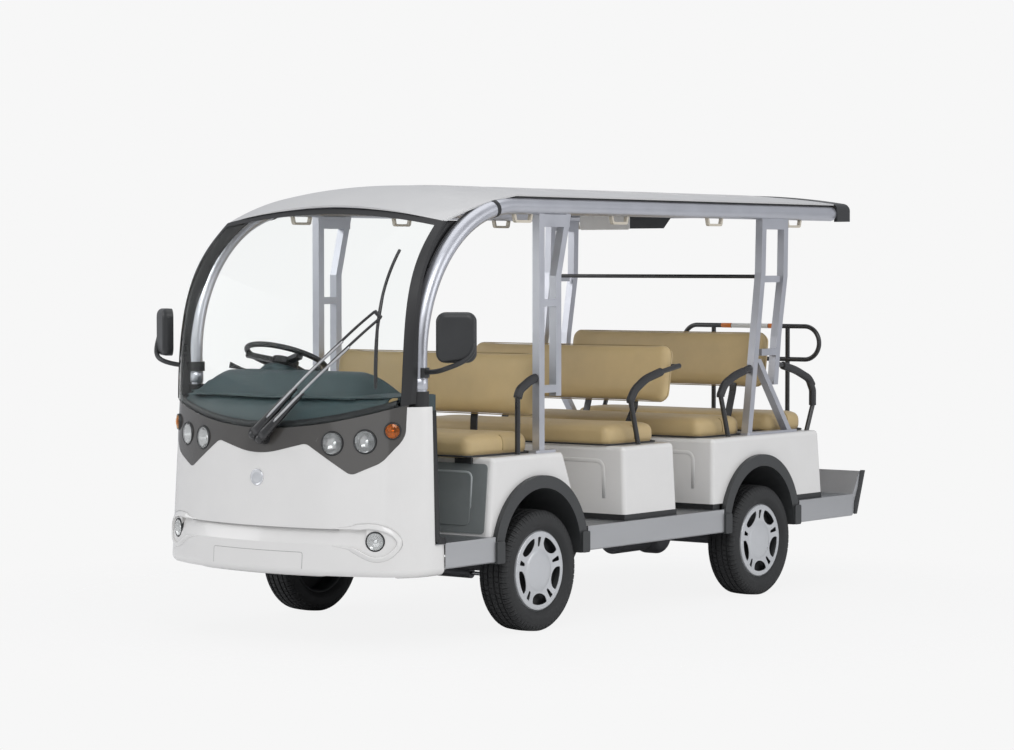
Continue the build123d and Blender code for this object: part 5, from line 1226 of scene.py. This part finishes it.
def dash_hood(name):
    """The instrument hood: a smooth mound over the dashboard's raised part."""
    nx, ny = 60, 34
    points = []
    for i in range(nx + 1):
        x = HOOD_X[0] + (HOOD_X[1] - HOOD_X[0]) * i / nx
        rise_left = min(1.0, max(0.0, x - HOOD_X[0]) / 0.07)
        rise_right = min(1.0, max(0.0, HOOD_X[1] - x) / 0.24)
        share = math.sin(rise_left * math.pi / 2) ** 0.7 * math.sin(rise_right * math.pi / 2) ** 0.8
        for j in range(ny + 1):
            t = j / ny
            front = min(1.0, t / 0.62)
            rear = min(1.0, max(0.0, 1 - t) / 0.12)
            crest = math.sin(front * math.pi / 2) ** 1.1 * math.sin(rear * math.pi / 2) ** 0.5
            points.append((x, HOOD_Y[0] + (HOOD_Y[1] - HOOD_Y[0]) * t, HOOD_Z + HOOD_RISE * share * crest))
    return mesh_of(name, points, grid_faces(nx + 1, ny + 1))


hood = piece("dash_hood", dash_hood("dash_hood"), "dash")
hood_skin = hood.modifiers.new("wall", "SOLIDIFY")
hood_skin.thickness = 0.003
applied(hood)

for name, start, bend_at, end in (
    ("stalk_left", (-0.42, -1.49, 1.175), (-0.50, -1.50, 1.185), (-0.565, -1.505, 1.200)),
    ("stalk_right", (-0.24, -1.49, 1.175), (-0.17, -1.50, 1.185), (-0.115, -1.505, 1.196)),
):
    stem = tube(name, [start, bend_at, end], circle_ring(0.006, 14), bend=0.02)
    tip = Vector(end)
    way = (tip - Vector(bend_at)).normalized()
    path = [tip + way * (0.010 * k - 0.005) for k in range(7)]
    paddle = tapered_bar(f"{name}_tip", path, (0.014, 0.030), (0.012, 0.009), 0.45)
    piece(name, joined(name, [stem, paddle]), "trim")


def shell_between(name, front, back):
    """A closed sheet between a grid of front points and one of back points."""
    rows, cols = len(front), len(front[0])
    half = rows * cols
    sheet = grid_faces(rows, cols)
    faces = sheet + [tuple(p + half for p in reversed(face)) for face in sheet]
    rim = list(range(cols)) + [i * cols + cols - 1 for i in range(1, rows)]
    rim += [(rows - 1) * cols + j for j in range(cols - 2, -1, -1)] + [i * cols for i in range(rows - 2, 0, -1)]
    faces += [(a, a + half, b + half, b) for a, b in zip(rim, rim[1:] + rim[:1])]
    return faces_out(mesh_of(name, [p for row in front + back for p in row], faces))


# The foot and the sides of the windshield, and the places behind it
GLASS_LOW_X = BODY_HALF - 0.058
GLASS_LOW_Z = 0.961
GLASS_LOW_RISE = 0.106
GLASS_LOW_R = (GLASS_LOW_X ** 2 + GLASS_LOW_RISE ** 2) / (2 * GLASS_LOW_RISE)
GLASS_SIDE = (
    (GLASS_LOW_X, GLASS_LOW_Z + GLASS_LOW_RISE), (BODY_HALF - 0.062, 1.470),
    (BODY_HALF - 0.100, RAIL_Z - 0.093),
)
GLASS_DEEP = 0.0085
FRIT_LOW = 0.036
FRIT_T = 0.001
FRIT_COLS = 48


def glass_low_z(x):
    return GLASS_LOW_Z + GLASS_LOW_R - math.sqrt(GLASS_LOW_R ** 2 - x ** 2)


def glass_side_x(z):
    """The glass's half width at a height, on the parabola through its side's three named places."""
    total = 0.0
    for x0, z0 in GLASS_SIDE:
        others = [z1 for _, z1 in GLASS_SIDE if z1 != z0]
        total += x0 * math.prod((z - z1) / (z0 - z1) for z1 in others)
    return total


# Printed border just behind the foot of the glass
front, back = [], []
for i in range(FRIT_COLS + 1):
    x = (2 * i / FRIT_COLS - 1) * (GLASS_LOW_X - 0.004)
    spots = [(x, glass_low_z(x) - 0.006 + FRIT_LOW * j / 2) for j in range(3)]
    front.append([glass_place(*spot, -GLASS_DEEP) for spot in spots])
    back.append([glass_place(*spot, -GLASS_DEEP - FRIT_T) for spot in spots])
piece("frit_low", shell_between("frit_low", front, back), "frit")

# Rubber lips that close the gap between the glass's seal and each pillar
LIP_LOW = 1.070
LIP_HIGH = 1.877
LIP_T = 0.005
for side, hand in SIDES:
    front, back = [], []
    for i in range(41):
        z = LIP_LOW + (LIP_HIGH - LIP_LOW) * i / 40
        bend = math.asin(max(0.0, z - PILLAR_STRAIGHT_Z) / PILLAR_BEND_R)
        pillar_y = RAIL_FRONT_Y - PILLAR_BEND_R * math.cos(bend)
        seal = glass_place(side * (glass_side_x(z) + 0.027), z, -0.001)
        tube_side = Vector((side * (RAIL_X - 0.030), pillar_y - 0.016, z))
        inward = Vector((-side * LIP_T, LIP_T, 0))
        front.append([seal, seal.lerp(tube_side, 0.5), tube_side])
        back.append([p + inward for p in front[-1]])
    piece(f"glass_strip_{hand}", shell_between("strip", front, back), "rubber")

# The dashboard's front apron, from the shelf down to the foot of the glass
APRON_ROWS = 8
APRON_COLS = 48
APRON_HALF = 0.615
APRON_TOP = 1.1005
front, back = [], []
for i in range(APRON_ROWS + 1):
    share = i / APRON_ROWS
    swell = Vector((0, -0.012, 0.010)) * math.sin(math.pi * share) * min(1.0, share * 2)
    front.append([])
    for j in range(APRON_COLS + 1):
        x = APRON_HALF * (2 * j / APRON_COLS - 1)
        low = glass_place(x, glass_low_z(x) + 0.004, -0.014)
        high = bow_point(x, APRON_TOP, nose_front(1.1), NOSE_ARC_R, BODY_HALF, -0.088)[0]
        front[-1].append(low.lerp(high, share) + swell)
    back.append([spot + Vector((0, 0.003, -0.003)) for spot in front[-1]])
piece("dash_apron", shell_between("dash_apron", front, back), "dash")

# White front plate of the ceiling console
CONSOLE_Z = 1.9235
CONSOLE_Y = (0.638, 0.6495)
console_ring = box_ring(0.308, 0.130, 0.012, 4)
console = tube("console_front", [(0, y, CONSOLE_Z) for y in CONSOLE_Y], console_ring, bend=0.1)
piece("console_front", softened(console, 0.003, 3, 60), "white")

# Low raised ribs across the roof
ROOF_HALF = BODY_HALF - 0.030
ROOF_EDGE_Z = RAIL_Z + 0.044
ROOF_CROWN_Z = RAIL_Z + 0.102
RIBS = 7
RIB_PITCH = 0.39
rib_ring = box_ring(0.17, 0.011, 0.005, 4)
for k in range(RIBS):
    path = []
    for i in range(33):
        x = (ROOF_HALF - 0.045) * (i / 16 - 1)
        z = ROOF_CROWN_Z - (ROOF_CROWN_Z - ROOF_EDGE_Z) * (x / ROOF_HALF) ** 2
        path.append(Vector((x, -0.80 + RIB_PITCH * k, z)))
    rib = softened(ring_sweep("rib", path, path_frames(path), rib_ring), 0.003, 2, 60)
    piece(f"roof_rib_{k}", rib, "roof")

# Black end caps on the rear step's leaning edge
STEP_CAP = ((1.950, 0.585), (1.996, 0.582), (1.913, 0.354), (1.884, 0.354), (1.892, 0.420), (1.930, 0.500))
SILL_HALF = BODY_HALF + 0.025
for side, hand in SIDES:
    cap = prism("cap", STEP_CAP, (side * (SILL_HALF + 0.0003), 0, 0), (0, 1, 0), (0, 0, 1), side * 0.005)
    piece(f"step_cap_{hand}", softened(cap, 0.0015, 2), "trim")


# Floor, light and camera
FLOOR_HALF = 14
FLOOR_NEAR = 2.1
FLOOR_FAR = 3.4
FLOOR_LIFT = 0.94
BACKGROUND = 0.93
PALE = (BACKGROUND, BACKGROUND, BACKGROUND, 1)


def mixed(tree, link, first, second, factor=None, share=0.5):
    """Mixes two shaders, by a socket's value where a factor is given and by a fixed share otherwise."""
    mix = put(tree, "MixShader", {"Fac": share})
    link.new(first, mix.inputs[1])
    link.new(second, mix.inputs[2])
    if factor:
        link.new(factor, mix.inputs["Fac"])
    return mix.outputs[0]


def seen_directly(tree, link):
    """1 for rays from the camera, also once they have passed through glass, and 0 for all others."""
    rays = put(tree, "LightPath")
    return combined(tree, link, "MAXIMUM", rays.outputs["Is Camera Ray"], rays.outputs["Is Transmission Ray"])


def pale_ground():
    """Studio floor: pale and matte, keeps the contact shadow, and fades into the background further out."""
    material = surface("pale_floor", (0.86, 0.86, 0.86), 0.7, vary=0.01, bump=0.02, bump_scale=20)
    tree, link = material.node_tree.nodes, material.node_tree.links
    matte = tree["Principled BSDF"].outputs[0]
    glow = put(tree, "Emission", {"Color": PALE, "Strength": 1.0})
    lift = mixed(tree, link, matte, glow.outputs[0], share=FLOOR_LIFT)
    far = put(tree, "VectorMath")
    far.operation = "LENGTH"
    link.new(put(tree, "TexCoord").outputs["Object"], far.inputs[0])
    fade = put(tree, "MapRange", {"From Min": FLOOR_NEAR, "From Max": FLOOR_FAR})
    fade.interpolation_type = "SMOOTHSTEP"
    link.new(far.outputs["Value"], fade.inputs["Value"])
    soft_edge = mixed(tree, link, lift, put(tree, "BsdfTransparent").outputs[0], fade.outputs["Result"])
    final = mixed(tree, link, matte, soft_edge, seen_directly(tree, link))
    link.new(final, tree["Material Output"].inputs["Surface"])
    return material


corners = [(x * FLOOR_HALF, y * FLOOR_HALF, 0) for x, y in ((-1, -1), (1, -1), (1, 1), (-1, 1))]
floor_mesh = mesh_of("floor", corners, [(0, 1, 2, 3)])
floor = bpy.data.objects.new("floor", floor_mesh)
scene.collection.objects.link(floor)
floor_mesh.materials.append(pale_ground())

world = bpy.data.worlds.new("studio")
scene.world = world
world.use_nodes = True
tree, link = world.node_tree.nodes, world.node_tree.links
tree.clear()
soft = put(tree, "Background", {"Color": (0.93, 0.95, 1.0, 1), "Strength": 0.55})
white = put(tree, "Background", {"Color": PALE, "Strength": 1.0})
lit = mixed(tree, link, soft.outputs[0], white.outputs[0], seen_directly(tree, link))
link.new(lit, put(tree, "OutputWorld").inputs["Surface"])

for name, at, aim, size, power in (
    ("key", (5.5, -5.5, 6.5), (0, -0.3, 0.8), (5, 4), 250),
    ("front", (1.5, -9.5, 2.2), (0, 0, 0.8), (5, 3), 30),
    ("fill", (-6.0, -5.0, 4.0), (0, 0, 0.9), (5, 4), 115),
    ("top", (0, 0, 7.5), (0, 0, 0), (6, 8), 150),
    ("side", (7.5, 2.5, 3.0), (0, 0.3, 0.9), (4, 4), 100),
):
    data = bpy.data.lights.new(name, "AREA")
    data.shape = "RECTANGLE"
    data.size, data.size_y = size
    data.energy = power
    light = bpy.data.objects.new(name, data)
    light.location = at
    light.rotation_euler = (Vector(aim) - Vector(at)).to_track_quat("-Z", "Y").to_euler()
    scene.collection.objects.link(light)

CAMERA_AZIMUTH = math.radians(37.276)
CAMERA_ELEVATION = math.radians(2.16)
flat = math.cos(CAMERA_ELEVATION)
back_way = Vector((
    math.sin(CAMERA_AZIMUTH) * flat, -math.cos(CAMERA_AZIMUTH) * flat, math.sin(CAMERA_ELEVATION),
))
camera_data = bpy.data.cameras.new("photo_camera")
camera_data.lens = 104.9
camera = bpy.data.objects.new("photo_camera", camera_data)
camera.location = (8.78, -11.718, 1.686)
camera.rotation_euler = (-back_way).to_track_quat("-Z", "Y").to_euler()
scene.collection.objects.link(camera)
scene.camera = camera
scene.view_settings.view_transform = "Standard"
